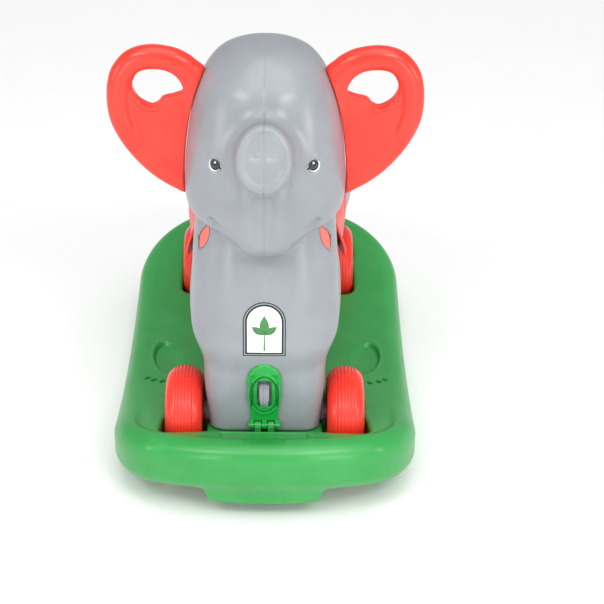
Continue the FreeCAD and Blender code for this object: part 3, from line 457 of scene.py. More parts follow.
def deck_relief(x, y, outline):
    """How far the deck stands above its plain dish: roll, crease, pad and footprints."""
    side = np.abs(x)
    ahead = fade(-y, 150, 250)
    roll = 2.2 * fade(outline, -36, -26) * ahead
    crease = -0.9 * np.exp(-((outline + 38) / 8) ** 2) * ahead
    half, rear, front = PAD
    pad = plan(x, y - (rear + front) / 2, half, (rear - front) / 2, 2)
    groove = -2.2 * np.exp(-(pad / 1.5) ** 4) * fade(y, front + 4, rear - 6)
    across, along, half_width, half_length = SOLE
    lean = side - across - 0.12 * (y - along)
    oval = (np.sqrt((lean / half_width) ** 2 + ((y - along) / half_length) ** 2) - 1) * half_width
    print_depth = -5 * (1 - fade(oval, -2.4, 0)) * fade(side - 0.28 * y, 112, 140)
    print_edge = 1.2 * np.exp(-((oval - 2) / 1.8) ** 2) * fade(side - 0.1 * y, 126, 146)
    toes = 0
    for place_x, place_y in TOES:
        turned = (y - place_y) * 0.65 - (side - place_x) * 0.76
        cross = (y - place_y) * 0.76 + (side - place_x) * 0.65
        toes = toes - 8 * np.exp(-(turned / 4.6) ** 6 - (cross / 2.2) ** 6)
    return roll + crease + groove + print_depth + print_edge + toes


def rocking_stop(x, y, z):
    """The tongue under each end that meets the floor when the toy tips too far."""
    half_width = follow(z, (27, 59, 90), (70.5, 78, 79))
    bowed = np.abs(y) + x ** 2 / (2 * FRONT_RADIUS)
    form = plan(x, bowed - 292, half_width, 18, 7)
    return keep_both(keep_both(form, 27 - z, 7), z - 92, 4)


def rocker(x, y, z):
    """The base: deck, rim and rocking face, then what is pressed into them."""
    side = np.abs(x)
    outline = base_outline(x, y)
    edge = 27 + 7 * fade(-y, 180, 290)
    top = z - deck(y) - deck_relief(x, y, outline)
    form = corner_gap(outline + edge, top + edge) - edge
    bottom = rocking_face(y) - z
    form = corner_gap(form + UNDER_EDGE, bottom + UNDER_EDGE) - UNDER_EDGE
    form = melt(form, rocking_stop(x, y, z), 9)
    slant = 0.06 * np.clip(250 + y, 0, 50)
    well = plan(side - WELL_MIDDLE + slant, np.abs(y) - AXLE_Y, WELL_HALF_WIDTH - slant,
                WELL_HALF_LENGTH, 14)
    form = carve(form, keep_both(well, WELL_FLOOR - z, 6), 6)
    tray = plan(x, y - TRAY_MIDDLE, TRAY_HALF_WIDTH, TRAY_HALF_LENGTH, 4)
    form = carve(form, keep_both(tray, deck(y) - TRAY_SINK - z, 2), 2)
    open_latch = keep_both(side - 24, 102.3 - 0.268 * (y + 248.75) - z, 1)
    form = carve(form, open_latch, 1.5)
    channel = bar(np.abs(y) - AXLE_Y, z - AXLE_Z, CHANNEL_RADIUS)
    return carve(form, np.maximum(channel, side - CHANNEL_REACH), 3)


base_shell = sculpt("base_shell", rocker, (
    spaced(-198, 2.6, -176, 1.1, -122, 2.6, -58, 1.1, -50, 2.5, 50, 1.1, 58, 2.6, 122, 1.1, 176,
           2.6, 198.1),
    spaced(-323, 2.6, -300, 1.2, -254, 2.6, -110, 1.1, -80, 2.6, 323), spaced(-4, 2.8, 122)))

# %% [markdown]
# The latch turns on two knuckles of the base. They are smaller than the base shell's cells can
# show, so they are sculpted by themselves in finer cells and stand in the deck.

# %% The hinge knuckles
HINGE_Y, HINGE_Z = -248, 105.5
BARREL_RADIUS, KNUCKLE_PLACE = 5, 8.25


def knuckles(x, y, z):
    barrel = bar(y - HINGE_Y, z - HINGE_Z, BARREL_RADIUS)
    post = np.maximum(np.abs(y - HINGE_Y) - BARREL_RADIUS, z - HINGE_Z)
    form = melt(barrel, post, 1.5)
    form = keep_both(form, np.abs(np.abs(x) - KNUCKLE_PLACE) - 4.2, 1.2)
    return keep_both(form, deck(y) - 9.5 - z, 1)


hinge_knuckles = sculpt("hinge_knuckles", knuckles, (
    spaced(-13.6, 0.6, 13.7), spaced(-254.4, 0.6, -241.6), spaced(87, 0.6, 112)))

# %% [markdown]
# The ears are the handles. Each is one red moulding: a fat tube runs round its edge and over the
# hand hole, and a thinner flat panel lies inside it. Its outline is a smooth closed curve through
# a few places, and a field turns the distance to that curve into a rolled edge.

# %% A closed outline and the distance to it
def smooth_loop(places, steps=10):
    """A closed smooth curve through places, as points."""
    places = np.array(places, float)
    points = []
    for index in range(len(places)):
        before, here, there, after = (places[(index + step) % len(places)]
                                      for step in (-1, 0, 1, 2))
        for way in np.arange(steps) / steps:
            points.append(0.5 * (2 * here + (there - before) * way
                                 + (2 * before - 5 * here + 4 * there - after) * way ** 2
                                 + (3 * here - before - 3 * there + after) * way ** 3))
    return np.array(points)


def loop_distance(x, z, loop):
    """Distance to a closed curve, negative inside it."""
    x, z = np.broadcast_arrays(x, z)
    least = np.full(x.shape, 1e9)
    turns = np.zeros(x.shape, bool)
    for start, end in zip(loop, np.roll(loop, -1, 0)):
        line = end - start
        way = np.clip(((x - start[0]) * line[0] + (z - start[1]) * line[1]) / (line @ line), 0, 1)
        gap = (x - start[0] - way * line[0]) ** 2 + (z - start[1] - way * line[1]) ** 2
        least = np.minimum(least, gap)
        if start[1] != end[1]:
            crosses = (start[1] > z) != (end[1] > z)
            turns ^= crosses & (x < start[0] + (z - start[1]) * line[0] / line[1])
    return np.where(turns, -1, 1) * np.sqrt(least)


# %% The ear handles
EAR_PLANE, EAR_HALF_DEPTH, EAR_TUBE, EAR_PANEL = -160, 13, 13.5, 7
EAR_OUTLINE = smooth_loop([
    (67, 540), (81, 559), (98, 570.5), (115, 575.5), (132, 577), (148, 574.5), (161, 568.5),
    (171, 559), (179, 546.5), (183.5, 531), (185, 514), (184.5, 498), (182, 484), (176, 468),
    (165.5, 449), (149, 427.5), (130, 409.5), (110, 396.5), (96, 390), (83, 393),
    (70, 420), (63, 480)])
EAR_HOLE = smooth_loop([
    (96, 522), (98, 532.5), (105, 542), (117, 548.5), (134, 550), (147, 546), (153.5, 536),
    (155, 526), (150, 514), (141, 506.5), (133, 503.5), (126, 506.5), (119, 513.5), (106, 517)])


def ear(x, y, z):
    outline = loop_distance(x, z, EAR_OUTLINE)
    hole = loop_distance(x, z, EAR_HOLE)
    upper = fade(z - 0.35 * (x - 130), 488, 514)
    outer = fade(x + 0.9 * (z - 470), 128, 172)
    half = EAR_PANEL + (EAR_HALF_DEPTH - EAR_PANEL) * np.maximum(outer, upper)
    away = (outline + EAR_TUBE) / EAR_TUBE
    tube = (np.sqrt(away ** 2 + ((y - EAR_PLANE) / half) ** 2) - 1) * half
    form = melt(plate(outline + 1, y - EAR_PLANE, EAR_PANEL, 5), tube, 5)
    bead = bar(hole - 3.2, np.abs(y - EAR_PLANE) - EAR_PANEL, 2.4)
    form = melt(form, np.maximum(bead, upper * 8 - 4), 2.5)
    window = plate(-hole, y - EAR_PLANE, EAR_HALF_DEPTH, 5)
    return keep_both(form, window, 2.5)


def ear_on_head(x, y, z):
    return keep_both(ear(x, y, z), 0.6 - elephant(x, y, z), 1.5)


def mirrored(piece, name):
    """The same piece on the other side of the centre plane."""
    mesh = piece.data.copy()
    mesh.name = name
    mesh.transform(Matrix.Scale(-1, 4, (1, 0, 0)))
    mesh.flip_normals()
    return add_piece(name, mesh)


ear_right = sculpt("ear_right", ear_on_head, (
    spaced(60, 1.7, 188), spaced(-175, 1.7, -145), spaced(387, 1.8, 581)))
ear_left = mirrored(ear_right, "ear_left")
print("ear handle", [round(v / MM) for v in ear_right.dimensions], "mm")

# %% [markdown]
# The saddle is a red moulded seat that lies on the back with a rounded flap down each side. It
# is made from the elephant's own field: the layer between 0.6 mm and 8 mm over the skin, cut to
# the blanket's outline seen from the side. So it fits the back exactly and needs no shrinkwrap.

# %% The saddle and the inserts in the neck
SADDLE = smooth_loop([
    (-78, 352), (-79, 330), (-79, 300), (-78, 268), (-70, 251), (-50, 246), (-10, 246),
    (40, 250), (78, 262), (104, 276), (111, 292), (111, 312), (95, 322), (40, 330), (-20, 360)])
SADDLE_THICKNESS = 8


def saddle_blanket(x, y, z):
    body = trunkless(x, y, z)
    outline = loop_distance(y, z, SADDLE)
    flare = 4 * fade(-y, 30, 72) * fade(np.abs(x), 60, 84)
    layer = keep_both(body - SADDLE_THICKNESS - flare, outline, 5)
    channel = 0.9 * np.exp(-((outline + 11) / 1.6) ** 2)
    return keep_both(layer + channel, 0.6 + 1.9 * flare - body, 1)


saddle_seat = sculpt("saddle_seat", saddle_blanket, (
    spaced(-122, 2.2, 122.1), spaced(-84, 2.2, 116), spaced(241, 2.2, 350)))


def insert(x, y, z):
    """The red leaf that fills a slot of the neck, 1.4 mm below the skin."""
    skin = neck(x, y, z)
    form = np.maximum(skin + 1.4, -4.4 - skin)
    return keep_both(form, leaf(x, z) + 0.3, 0.6)


insert_right = sculpt("insert_right", insert, (
    spaced(58, 0.9, 86), spaced(-240, 0.9, -180), spaced(335, 1.1, 379)))
insert_left = mirrored(insert_right, "insert_left")

# %% [markdown]
# A finish starts from the real stuff. This toy is polyethylene, a waxy plastic with an index of
# refraction of 1.51 and a satin skin. Close up, the skin shows the fine orange peel of the mould,
# broad patches where the wall is thicker, and a faint change of gloss along the way the soft tube
# was drawn.
# The pattern sizes are real millimetres, and the coordinates are the object's own, so nothing
# slides when the camera moves.

# %% Finishes: colours, nodes and what nodes share
def linear(hex_colour):
    """An sRGB hex colour as the linear values that shaders use."""
    values = [int(hex_colour[start:start + 2], 16) / 255 for start in (0, 2, 4)]
    return (*(v / 12.92 if v <= 0.04045 else ((v + 0.055) / 1.055) ** 2.4 for v in values), 1)


def add_node(tree, kind, inputs=None, **settings):
    """Adds one node with its settings. An input is a value, or an output socket to link."""
    node = tree.nodes.new(kind)
    for name, value in settings.items():
        setattr(node, name, value)
    for name, value in (inputs or {}).items():
        if isinstance(value, bpy.types.NodeSocket):
            tree.links.new(value, node.inputs[name])
        else:
            node.inputs[name].default_value = value
    return node


def new_finish(name, roughness, ior=1.51):
    finish = bpy.data.materials.new(name)
    finish.use_nodes = True
    tree = finish.node_tree
    shader = tree.nodes["Principled BSDF"]
    shader.inputs["Roughness"].default_value = roughness
    if ior:
        shader.inputs["IOR"].default_value = ior
    return finish, tree, shader


def own_place(tree):
    """The object's own coordinates, in metres."""
    return add_node(tree, "ShaderNodeTexCoord").outputs["Object"]


def noise(tree, place, millimetres, detail=2, roughness=0.5):
    """Noise whose patches are about this wide."""
    return add_node(tree, "ShaderNodeTexNoise", {
        "Vector": place, "Scale": 1 / (millimetres * MM), "Detail": detail,
        "Roughness": roughness}).outputs["Fac"]


def stretch(tree, place, scale):
    return add_node(tree, "ShaderNodeMapping", {"Vector": place, "Scale": scale}).outputs["Vector"]


def ranged(tree, value, low, high, to_low=0, to_high=1):
    return add_node(tree, "ShaderNodeMapRange", {
        "Value": value, "From Min": low, "From Max": high,
        "To Min": to_low, "To Max": to_high}).outputs["Result"]


def mixed(tree, share, *colours):
    """Two colours mixed by a share. A colour is sRGB hex or another node's output."""
    first, second = (linear(each) if isinstance(each, str) else each for each in colours)
    return add_node(tree, "ShaderNodeMix", data_type="RGBA", inputs={
        "Factor": share, 6: first, 7: second}).outputs[2]


def bumped(tree, height, strength, depth, **under):
    """The normal of a relief this many millimetres deep, over another normal if one is given."""
    return add_node(tree, "ShaderNodeBump", {
        "Height": height, "Strength": strength, "Distance": depth * MM, **under}).outputs["Normal"]


# %% Finish: moulded plastic
def moulded_plastic(name, colour, thick_colour, roughness, peel=1.6, drawn=0.5):
    """Satin polyethylene: a colour, the colour where the wall is thicker, and the mould's skin."""
    finish, tree, shader = new_finish(name, roughness)
    place = own_place(tree)
    thick = ranged(tree, noise(tree, place, 55, 3, 0.55), 0.35, 0.7)
    tree.links.new(mixed(tree, thick, colour, thick_colour), shader.inputs["Base Color"])
    lines = noise(tree, stretch(tree, place, (1, 1, 0.1)), 18, 1)
    sheen = ranged(tree, lines, 0.3, 0.7, roughness - 0.02, roughness + 0.02)
    tree.links.new(sheen, shader.inputs["Roughness"])
    bump = bumped(tree, noise(tree, place, peel, 2, 0.6), 0.1, 0.03,
                  Normal=bumped(tree, lines, 0.1 * drawn, 0.06))
    tree.links.new(bump, shader.inputs["Normal"])
    return finish


grey_polyethylene = moulded_plastic("blow-moulded polyethylene, grey", "8E9298", "969AA0", 0.3)
green_polyethylene = moulded_plastic("blow-moulded polyethylene, green", "2B9442", "349C4B", 0.32)
red_polyethylene = moulded_plastic("blow-moulded polyethylene, coral red", "F03322", "F43B29", 0.3)
red_tyre = moulded_plastic("blow-moulded polyethylene, wheel red", "EF3121", "F33A29", 0.28)
green_polypropylene = moulded_plastic("injection-moulded polypropylene, green", "0C9A3A",
                                      "12A240", 0.28, peel=0.9, drawn=0)
pale_polypropylene = moulded_plastic("injection-moulded polypropylene, pale grey", "8E9298",
                                     "979BA1", 0.3, peel=0.9, drawn=0)
slot_red = moulded_plastic("polypropylene insert, light coral", "F9705F", "FB7F70", 0.4,
                           peel=0.9, drawn=0)
print("plastics:", [each.name for each in bpy.data.materials])

# %% [markdown]
# The axles, the hinge pin, the caps, the clip and the screws are zinc-plated steel. Plating is a
# metal coat with a fine cloudy grain, so its roughness varies over a few millimetres, and turned
# parts keep the marks of the tool round their axis.

# %% Finish: zinc-plated steel
def plated_steel():
    finish, tree, shader = new_finish("zinc-plated steel", 0.3, ior=None)
    place = own_place(tree)
    shader.inputs["Metallic"].default_value = 1
    clouds = noise(tree, place, 5, 4)
    tree.links.new(mixed(tree, clouds, "B9BBBF", "D6D7DA"), shader.inputs["Base Color"])
    tree.links.new(ranged(tree, clouds, 0, 1, 0.22, 0.42), shader.inputs["Roughness"])
    rings = noise(tree, stretch(tree, place, (1, 0.02, 0.02)), 0.5, 1)
    tree.links.new(bumped(tree, rings, 0.15, 0.05), shader.inputs["Normal"])
    return finish


zinc_steel = plated_steel()

# %% [markdown]
# The wheels are hollow red mouldings: a crowned tread with fine ribs round its middle, and a
# dished outer face. A wheel is a turned form, so its half section is a list of places, and the
# section is carried round the axle in equal steps. A lathe modifier would do the same, but here
# every ring is a real row of faces from the start.

# %% The wheels: turned sections
WHEEL_RADIUS, WHEEL_INNER, WHEEL_OUTER = 60, 79, 126.5
WHEEL_MIDDLE = (WHEEL_INNER + WHEEL_OUTER) / 2
TREAD_HALF, TREAD_FALL = (WHEEL_OUTER - WHEEL_INNER) / 2, 19
RIB_PITCH, TURN_STEPS = 4.6, 144


def shoulder_places(start, end):
    """The round shoulder of the tread, from one angle to another."""
    return [(WHEEL_MIDDLE + TREAD_HALF * np.cos(angle),
             WHEEL_RADIUS - TREAD_FALL + (TREAD_FALL - 0.5) * np.sin(angle))
            for angle in np.linspace(start, end, 14)]


def tread_ribs():
    """Five low ribs with a groove between each pair."""
    places = []
    for rib in range(-2, 3):
        for step, rise in ((-2.3, -0.75), (-1.85, -0.65), (-1.4, 0), (0, 0.2), (1.4, 0),
                           (1.85, -0.65)):
            out = rib * RIB_PITCH + step
            crown = (TREAD_FALL - 0.5) * np.sqrt(1 - (out / TREAD_HALF) ** 2)
            places.append((WHEEL_MIDDLE + out, WHEEL_RADIUS - TREAD_FALL + crown + rise))
    return places


WHEEL_SECTION = [(79.6, 5.4), (79, 6.2), (79, 14), (80.2, 16), (83.5, 17.5), (84.2, 19),
                 (84.2, 33), (82.6, 36), (79.6, 38.5)]
WHEEL_SECTION += shoulder_places(np.pi, np.pi / 2 + 0.5)
WHEEL_SECTION += tread_ribs()
WHEEL_SECTION += shoulder_places(np.pi / 2 - 0.5, 0)
WHEEL_SECTION += [(126.3, 40.6), (125.2, 39.2), (121, 37.6), (118.9, 36.2), (118.4, 34.4),
                  (118.4, 19.5), (119.2, 17.8), (121.4, 16.4), (122, 15.2), (122, 12.2),
                  (121.2, 11.6), (121.2, 6), (120.6, 5.4)]


def turned(name, section, axle_y, axle_z, side):
    """A section of (x, radius) places carried round an axle that lies along X."""
    section = np.array(section)
    angles = np.arange(TURN_STEPS) * 2 * np.pi / TURN_STEPS
    rings = [np.column_stack([np.full(TURN_STEPS, side * out),
                              axle_y + radius * np.sin(angles),
                              axle_z + radius * np.cos(angles)]) for out, radius in section]
    here = np.arange(len(section) * TURN_STEPS).reshape(-1, TURN_STEPS)
    there = np.roll(here, -1, 0)
    faces = np.stack([here, np.roll(here, -1, 1), np.roll(there, -1, 1), there], 2).reshape(-1, 4)
    if side > 0:
        faces = faces[:, ::-1]
    return make_mesh(name, np.concatenate(rings), faces)


def spoke(x, y, z):
    """A low round-edged bar along X, which stiffens the dish between hub and rim."""
    return plate(plan(x, y, 10.5, 2.6, 1.6), z, 2.6, 1.2)


spoke_bar = sculpt("spoke_bar", spoke, (
    spaced(-11, 0.9, 11.1), spaced(-3.1, 0.6, 3.2), spaced(-3.1, 0.6, 3.2)))

# %% [markdown]
# Six low spokes repeat round each hub. Geometry Nodes place them: a ring of points, one bar on
# each point, turned to look along its radius, then turned up to face out of the wheel. The tree
# joins them to the wheel, realises the instances and sets the material, and the result becomes
# one plain mesh for each wheel.

# %% Node tools: a tree's start, its end, and its result as a plain mesh
def new_tree(name, *inputs):
    """A geometry tree with named inputs, its input node and the list of its own sockets."""
    tree = bpy.data.node_groups.new(name, "GeometryNodeTree")
    tree.interface.new_socket("Geometry", in_out="OUTPUT", socket_type="NodeSocketGeometry")
    for input_name, kind in (("Geometry", "Geometry"), *inputs):
        tree.interface.new_socket(input_name, in_out="INPUT", socket_type="NodeSocket" + kind)
    return tree, add_node(tree, "NodeGroupInput").outputs


def close_tree(tree, geometry, finish):
    """Ends a tree: makes its instances real and sets their finish."""
    real = add_node(tree, "GeometryNodeRealizeInstances", {0: geometry.outputs[0]})
    dressed = add_node(tree, "GeometryNodeSetMaterial", {0: real.outputs[0], "Material": finish})
    add_node(tree, "NodeGroupOutput", {0: dressed.outputs[0]})


def settle_nodes(piece, tree, **values):
    """Runs a tree on a piece and keeps the result as a plain mesh."""
    modifier = piece.modifiers.new("nodes", "NODES")
    modifier.node_group = tree
    for socket in tree.interface.items_tree:
        if socket.in_out == "INPUT" and socket.name in values:
            modifier[socket.identifier] = values[socket.name]
    graph = bpy.context.evaluated_depsgraph_get()
    mesh = bpy.data.meshes.new_from_object(piece.evaluated_get(graph))
    piece.modifiers.clear()
    piece.data = mesh
    print(f"{piece.name}: {len(mesh.polygons)} faces after the nodes")
    return piece


# %% The spokes: a tree of nodes
spoke_tree, spoke_in = new_tree("spokes round a hub", ("Spokes", "Int"), ("Circle", "Float"),
                                ("Centre", "Vector"), ("Facing", "Float"))
ring = add_node(spoke_tree, "GeometryNodeMeshCircle", {
    "Vertices": spoke_in["Spokes"], "Radius": spoke_in["Circle"]})
radius_way = add_node(spoke_tree, "GeometryNodeInputPosition")
along_radius = add_node(spoke_tree, "FunctionNodeAlignRotationToVector", axis="X", inputs={
    "Vector": radius_way.outputs[0]})
one_spoke = add_node(spoke_tree, "GeometryNodeObjectInfo", {"Object": spoke_bar})
bars = add_node(spoke_tree, "GeometryNodeInstanceOnPoints", {
    "Points": ring.outputs[0], "Instance": one_spoke.outputs["Geometry"],
    "Rotation": along_radius.outputs[0]})
facing = add_node(spoke_tree, "ShaderNodeCombineXYZ", {"Y": spoke_in["Facing"]})
stood = add_node(spoke_tree, "GeometryNodeTransform", {
    "Geometry": bars.outputs[0], "Translation": spoke_in["Centre"],
    "Rotation": facing.outputs[0]})
with_wheel = add_node(spoke_tree, "GeometryNodeJoinGeometry")
spoke_tree.links.new(stood.outputs[0], with_wheel.inputs[0])
spoke_tree.links.new(spoke_in["Geometry"], with_wheel.inputs[0])
close_tree(spoke_tree, with_wheel, red_tyre)

WHEELS = {}
for end, end_name in ((-1, "front"), (1, "rear")):
    for side, side_name in ((-1, "left"), (1, "right")):
        wheel = turned(f"tyre_{end_name}_{side_name}", WHEEL_SECTION, end * AXLE_Y, AXLE_Z, side)
        WHEELS[f"{end_name}_{side_name}"] = settle_nodes(
            wheel, spoke_tree, Spokes=6, Circle=27.5 * MM, Facing=side * np.pi / 2,
            Centre=(side * 118.8 * MM, end * AXLE_Y * MM, AXLE_Z * MM))
bpy.data.objects.remove(spoke_bar)

# %% [markdown]
# The latch is a green plate that swings up from the base. It has a domed top and an oval cup: a
# raised ring, a dark groove inside it, and a frame round the upright slot through which the grey
# knob shows. It is small, so its cells are small too: 0.6 mm. An oval's distance is measured the
# way an egg's is.

# %% The latch
PLATE_MIDDLE, PLATE_HALF = -244.6, 2
KNOB_HEIGHT, CUP_HEIGHT = 154, 152.8
CUP, CUP_INSIDE, FRAME = (20.8, 30), (17.6, 27.2), (15.2, 25)  # half width, half height
DOME_HEIGHT, DOME, DOME_CROWN = 166, (21.8, 29.6), (19.5, 26)


def oval(x, z, middle, half_width, half_height):
    near = np.sqrt((x / half_width) ** 2 + ((z - middle) / half_height) ** 2)
    slope = np.sqrt((x / half_width ** 2) ** 2 + ((z - middle) / half_height ** 2) ** 2)
    return near * (near - 1) / np.maximum(slope, 1e-6)


def latch(x, y, z):
    side = np.abs(x)
    cup = oval(x, z, CUP_HEIGHT, *CUP)
    dome = np.maximum(oval(x, z, DOME_HEIGHT, *DOME), 163 - z)
    half = follow(z, (100, 104, 110, 118, 128), (19.6, 19.4, 17.6, 17, 18))
    neck_plate = np.maximum(np.maximum(side - half, z - 140), 104 - z)
    outline = melt(np.minimum(cup, dome), neck_plate, 3)
    form = plate(outline, y - PLATE_MIDDLE, PLATE_HALF, 0.9)
    crown = plate(oval(x, z, DOME_HEIGHT + 2, *DOME_CROWN), y + 246, 2.4 * fade(z, 174, 182), 1.4)
    form = melt(form, np.where(z > 174, crown, 9), 2)
    ring = plate(cup, y + 247.4, 2.9, 1.3)
    form = melt(form, keep_both(ring, -oval(x, z, CUP_HEIGHT, *CUP_INSIDE), 0.8), 0.8)
    slot_frame = plate(oval(x, z, CUP_HEIGHT, *FRAME), y + 247, 2.9, 1.2)
    form = melt(form, keep_both(slot_frame, side - 14.2, 1.5), 0.8)
    lens = np.maximum(np.abs(side - 15.7) - 2.2 * (1 - ((z - CUP_HEIGHT) / 19) ** 2),
                      np.maximum(np.abs(z - CUP_HEIGHT) - 19, y + 244.4))
    form = carve(form, lens, 0.6)
    form = carve(form, plan(x, z - KNOB_HEIGHT, 8.4, 19.1, 3), 1.2)
    barrel = np.maximum(bar(y - HINGE_Y, z - HINGE_Z, BARREL_RADIUS), side - 19)
    form = melt(form, barrel, 1.6)
    for middle in (0, 16):
        ends = [(middle + step, -250.6, 107.4) for step in (-1.4, 1.4)]
        form = melt(form, rod(side, y, z, *ends, 3.2, 3.2), 1.2)
    cleft = np.maximum(np.abs(side - KNUCKLE_PLACE) - 4.9, z - 111.4)
    return carve(form, cleft, 0.8)


latch_plate = sculpt("latch_plate", latch, (
    spaced(-24.5, 0.6, 24.6), spaced(-254.6, 0.6, -241.4), spaced(98.6, 0.65, 198.5)))


# %% The knob
def knob(x, y, z):
    crown = 6.2 - 5.2 * np.sqrt(np.clip(1 - (x / 6.8) ** 2, 0, 1))
    disc = bar(y + 249.4, z - KNOB_HEIGHT, 17) + 0.55 * crown
    ribs = 0.85 * np.cos(x * 2 * np.pi / 3) * fade(disc, -6, -1)
    half = follow(z, (137, 147, 158, 171), (4.7, 5.0, 5.9, 6.0))
    form = keep_both(disc + 0.7 - ribs, np.abs(x) - half, 1.4)
    form = keep_both(form, y + 250.5, 1)
    stem = np.maximum(bar(x, z - KNOB_HEIGHT, 5.9), np.abs(y + 243) - 7)
    return melt(form, stem, 0.6)


knob_grip = sculpt("knob_grip", knob, (
    spaced(-7.4, 0.5, 7.5), spaced(-268.2, 0.6, -235), spaced(135.8, 0.65, 172.4)))

# %% [markdown]
# The saddle's four screws repeat as well. One pan head with a cross recess is an instance on each
# of four points. A point lies where the flap's skin is, which the saddle's field gives, and each
# head turns to face away from the centre plane.

# %% The screws: a small tree of nodes
def screw_head(x, y, z):
    """A pan head along +Z with a cross pressed into it."""
    dome = egg(x, y, z, (0, 0, -0.6), (5, 5, 3))
    arms = np.minimum(plan(x, y, 0.6, 3, 0.3), plan(x, y, 3, 0.6, 0.3))
    return carve(keep_both(dome, -z, 0.3), np.maximum(arms, 0.8 - z), 0.3)


def skin_reach(field, y, z):
    """How far out a field's surface lies at one place of the side."""
    out = np.linspace(60, 130, 1401)
    return out[np.argmax(field(out, np.full_like(out, y), np.full_like(out, z)) > 0)]


head = sculpt("screw_head", screw_head, (
    spaced(-5.4, 0.3, 5.5), spaced(-5.4, 0.3, 5.5), spaced(-0.5, 0.3, 3)))
SCREW_PLACES = [(side, y, 268) for side in (-1, 1) for y in (-30, 45)]
screw_points = bpy.data.meshes.new("screw_points")
screw_points.from_pydata(
    [(side * (skin_reach(saddle_blanket, y, z) - 0.5) * MM, y * MM, z * MM)
     for side, y, z in SCREW_PLACES], [], [])
saddle_screw_heads = add_piece("saddle_screw_heads", screw_points)

screw_tree, screw_in = new_tree("screws on points", ("Head size", "Float"))
place = add_node(screw_tree, "GeometryNodeInputPosition")
outward = add_node(screw_tree, "ShaderNodeVectorMath", operation="MULTIPLY", inputs={
    0: place.outputs[0], 1: (1, 0, 0)})
turn = add_node(screw_tree, "FunctionNodeAlignRotationToVector", axis="Z", inputs={
    "Vector": outward.outputs[0]})
shape = add_node(screw_tree, "GeometryNodeObjectInfo", {"Object": head})
placed = add_node(screw_tree, "GeometryNodeInstanceOnPoints", {
    "Points": screw_in["Geometry"], "Instance": shape.outputs["Geometry"],
    "Rotation": turn.outputs[0], "Scale": screw_in["Head size"]})
close_tree(screw_tree, placed, zinc_steel)
settle_nodes(saddle_screw_heads, screw_tree, **{"Head size": 1.0})
bpy.data.objects.remove(head)

# %% [markdown]
# A badge of printed film lies on the chest: an arch with a thin outer line, a silver band, a
# thick inner line and a white field. Its rings are real faces, so each print has sharp edges at
# any zoom. Every point is laid on the chest by following the skin's field from the front until it
# turns negative. The drawing on it is a plain sprig of three leaves.

# %% The badge: laid on the skin
BADGE_HALF, BADGE_LOW, BADGE_SPRING = 26, 210, 257
BADGE_LINES = [0, 1.3, 2.7, 5.1, 10, 16, 21.5]
BADGE_PRINTS = [1, 2, 1, 0, 0, 0]
FILM, INK_TOP = 0.3, 0.45
FILM_IOR = 1.49


def meet(field, place, count, outside, inside):
    """Halves the way between outside and inside until it is on a field's surface."""
    outside, inside = np.full(count, float(outside)), np.full(count, float(inside))
    for _ in range(40):
        middle = (outside + inside) / 2
        solid = field(*place(middle)) < 0
        inside, outside = np.where(solid, middle, inside), np.where(solid, outside, middle)
    return inside


def ring_plate(name, points, count):
    """A closed plate: rings of points, the first ring at its back and the last on its front."""
    rings = np.arange(len(points)).reshape(-1, count)
    bands = [list(face) for ring, after in zip(rings, rings[1:])
             for face in zip(ring, np.roll(ring, -1), np.roll(after, -1), after)]
    mesh = bpy.data.meshes.new(name)
    mesh.from_pydata((points * MM).tolist(), [],
                     bands + [rings[0][::-1].tolist(), rings[-1].tolist()])
    for face in mesh.polygons:
        face.use_smooth = len(face.vertices) == 4
    return add_piece(name, mesh)


def arch(inset):
    """The arched outline of the badge, moved in by an inset: up one side, over and down."""
    half, low = BADGE_HALF - inset, BADGE_LOW + inset
    turn = np.linspace(0, np.pi, 33)
    rise = np.linspace(low, BADGE_SPRING, 9)[:-1]
    foot = np.linspace(-half, half, 13)[1:-1]
    return np.concatenate([
        np.column_stack([np.full(8, half), rise]),
        np.column_stack([half * np.cos(turn), BADGE_SPRING + half * np.sin(turn)]),
        np.column_stack([np.full(8, -half), rise[::-1]]),
        np.column_stack([foot, np.full(11, low)])])


def layered(name, loops, heights, prints, finishes):
    """A plate on the chest: loops of (x, z), each this high over the skin, in printed bands."""
    points = []
    for (x, z), height in zip((loop.T for loop in loops), heights):
        skin = meet(trunkless, lambda y: (x, y, z), len(x), -260, -200)
        points.append(np.column_stack([x, skin - height, z]))
    piece = ring_plate(name, np.concatenate(points), len(loops[0]))
    for finish in finishes:
        piece.data.materials.append(finish)
    for index, face in enumerate(piece.data.polygons):
        face.material_index = prints[min(index // len(loops[0]), len(prints) - 1)]
    return piece


def printed_film(name, colour, other, roughness=0.3):
    """Gloss film: ink lies flat, so only a faint mottle of the coat shows."""
    finish, tree, shader = new_finish(name, roughness, ior=FILM_IOR)
    place = own_place(tree)
    mottle = noise(tree, place, 2.5, 3)
    tree.links.new(mixed(tree, mottle, colour, other), shader.inputs["Base Color"])
    tree.links.new(bumped(tree, mottle, 0.08, 0.05), shader.inputs["Normal"])
    return finish


white_film = printed_film("printed film, white", "F3F3EF", "FAFAF7")
dark_ink = printed_film("screen-printed ink, charcoal", "151617", "1D1E20", 0.4)
silver_ink = printed_film("screen-printed ink, silver", "8B9096", "979CA2", 0.34)
leaf_ink = printed_film("screen-printed ink, leaf green", "3E7F44", "4A8A4E", 0.38)
chest_badge = layered("chest_badge", [arch(0)] + [arch(inset) for inset in BADGE_LINES],
                      [0.1] + [FILM] * len(BADGE_LINES), [1] + BADGE_PRINTS,
                      [white_film, dark_ink, silver_ink])


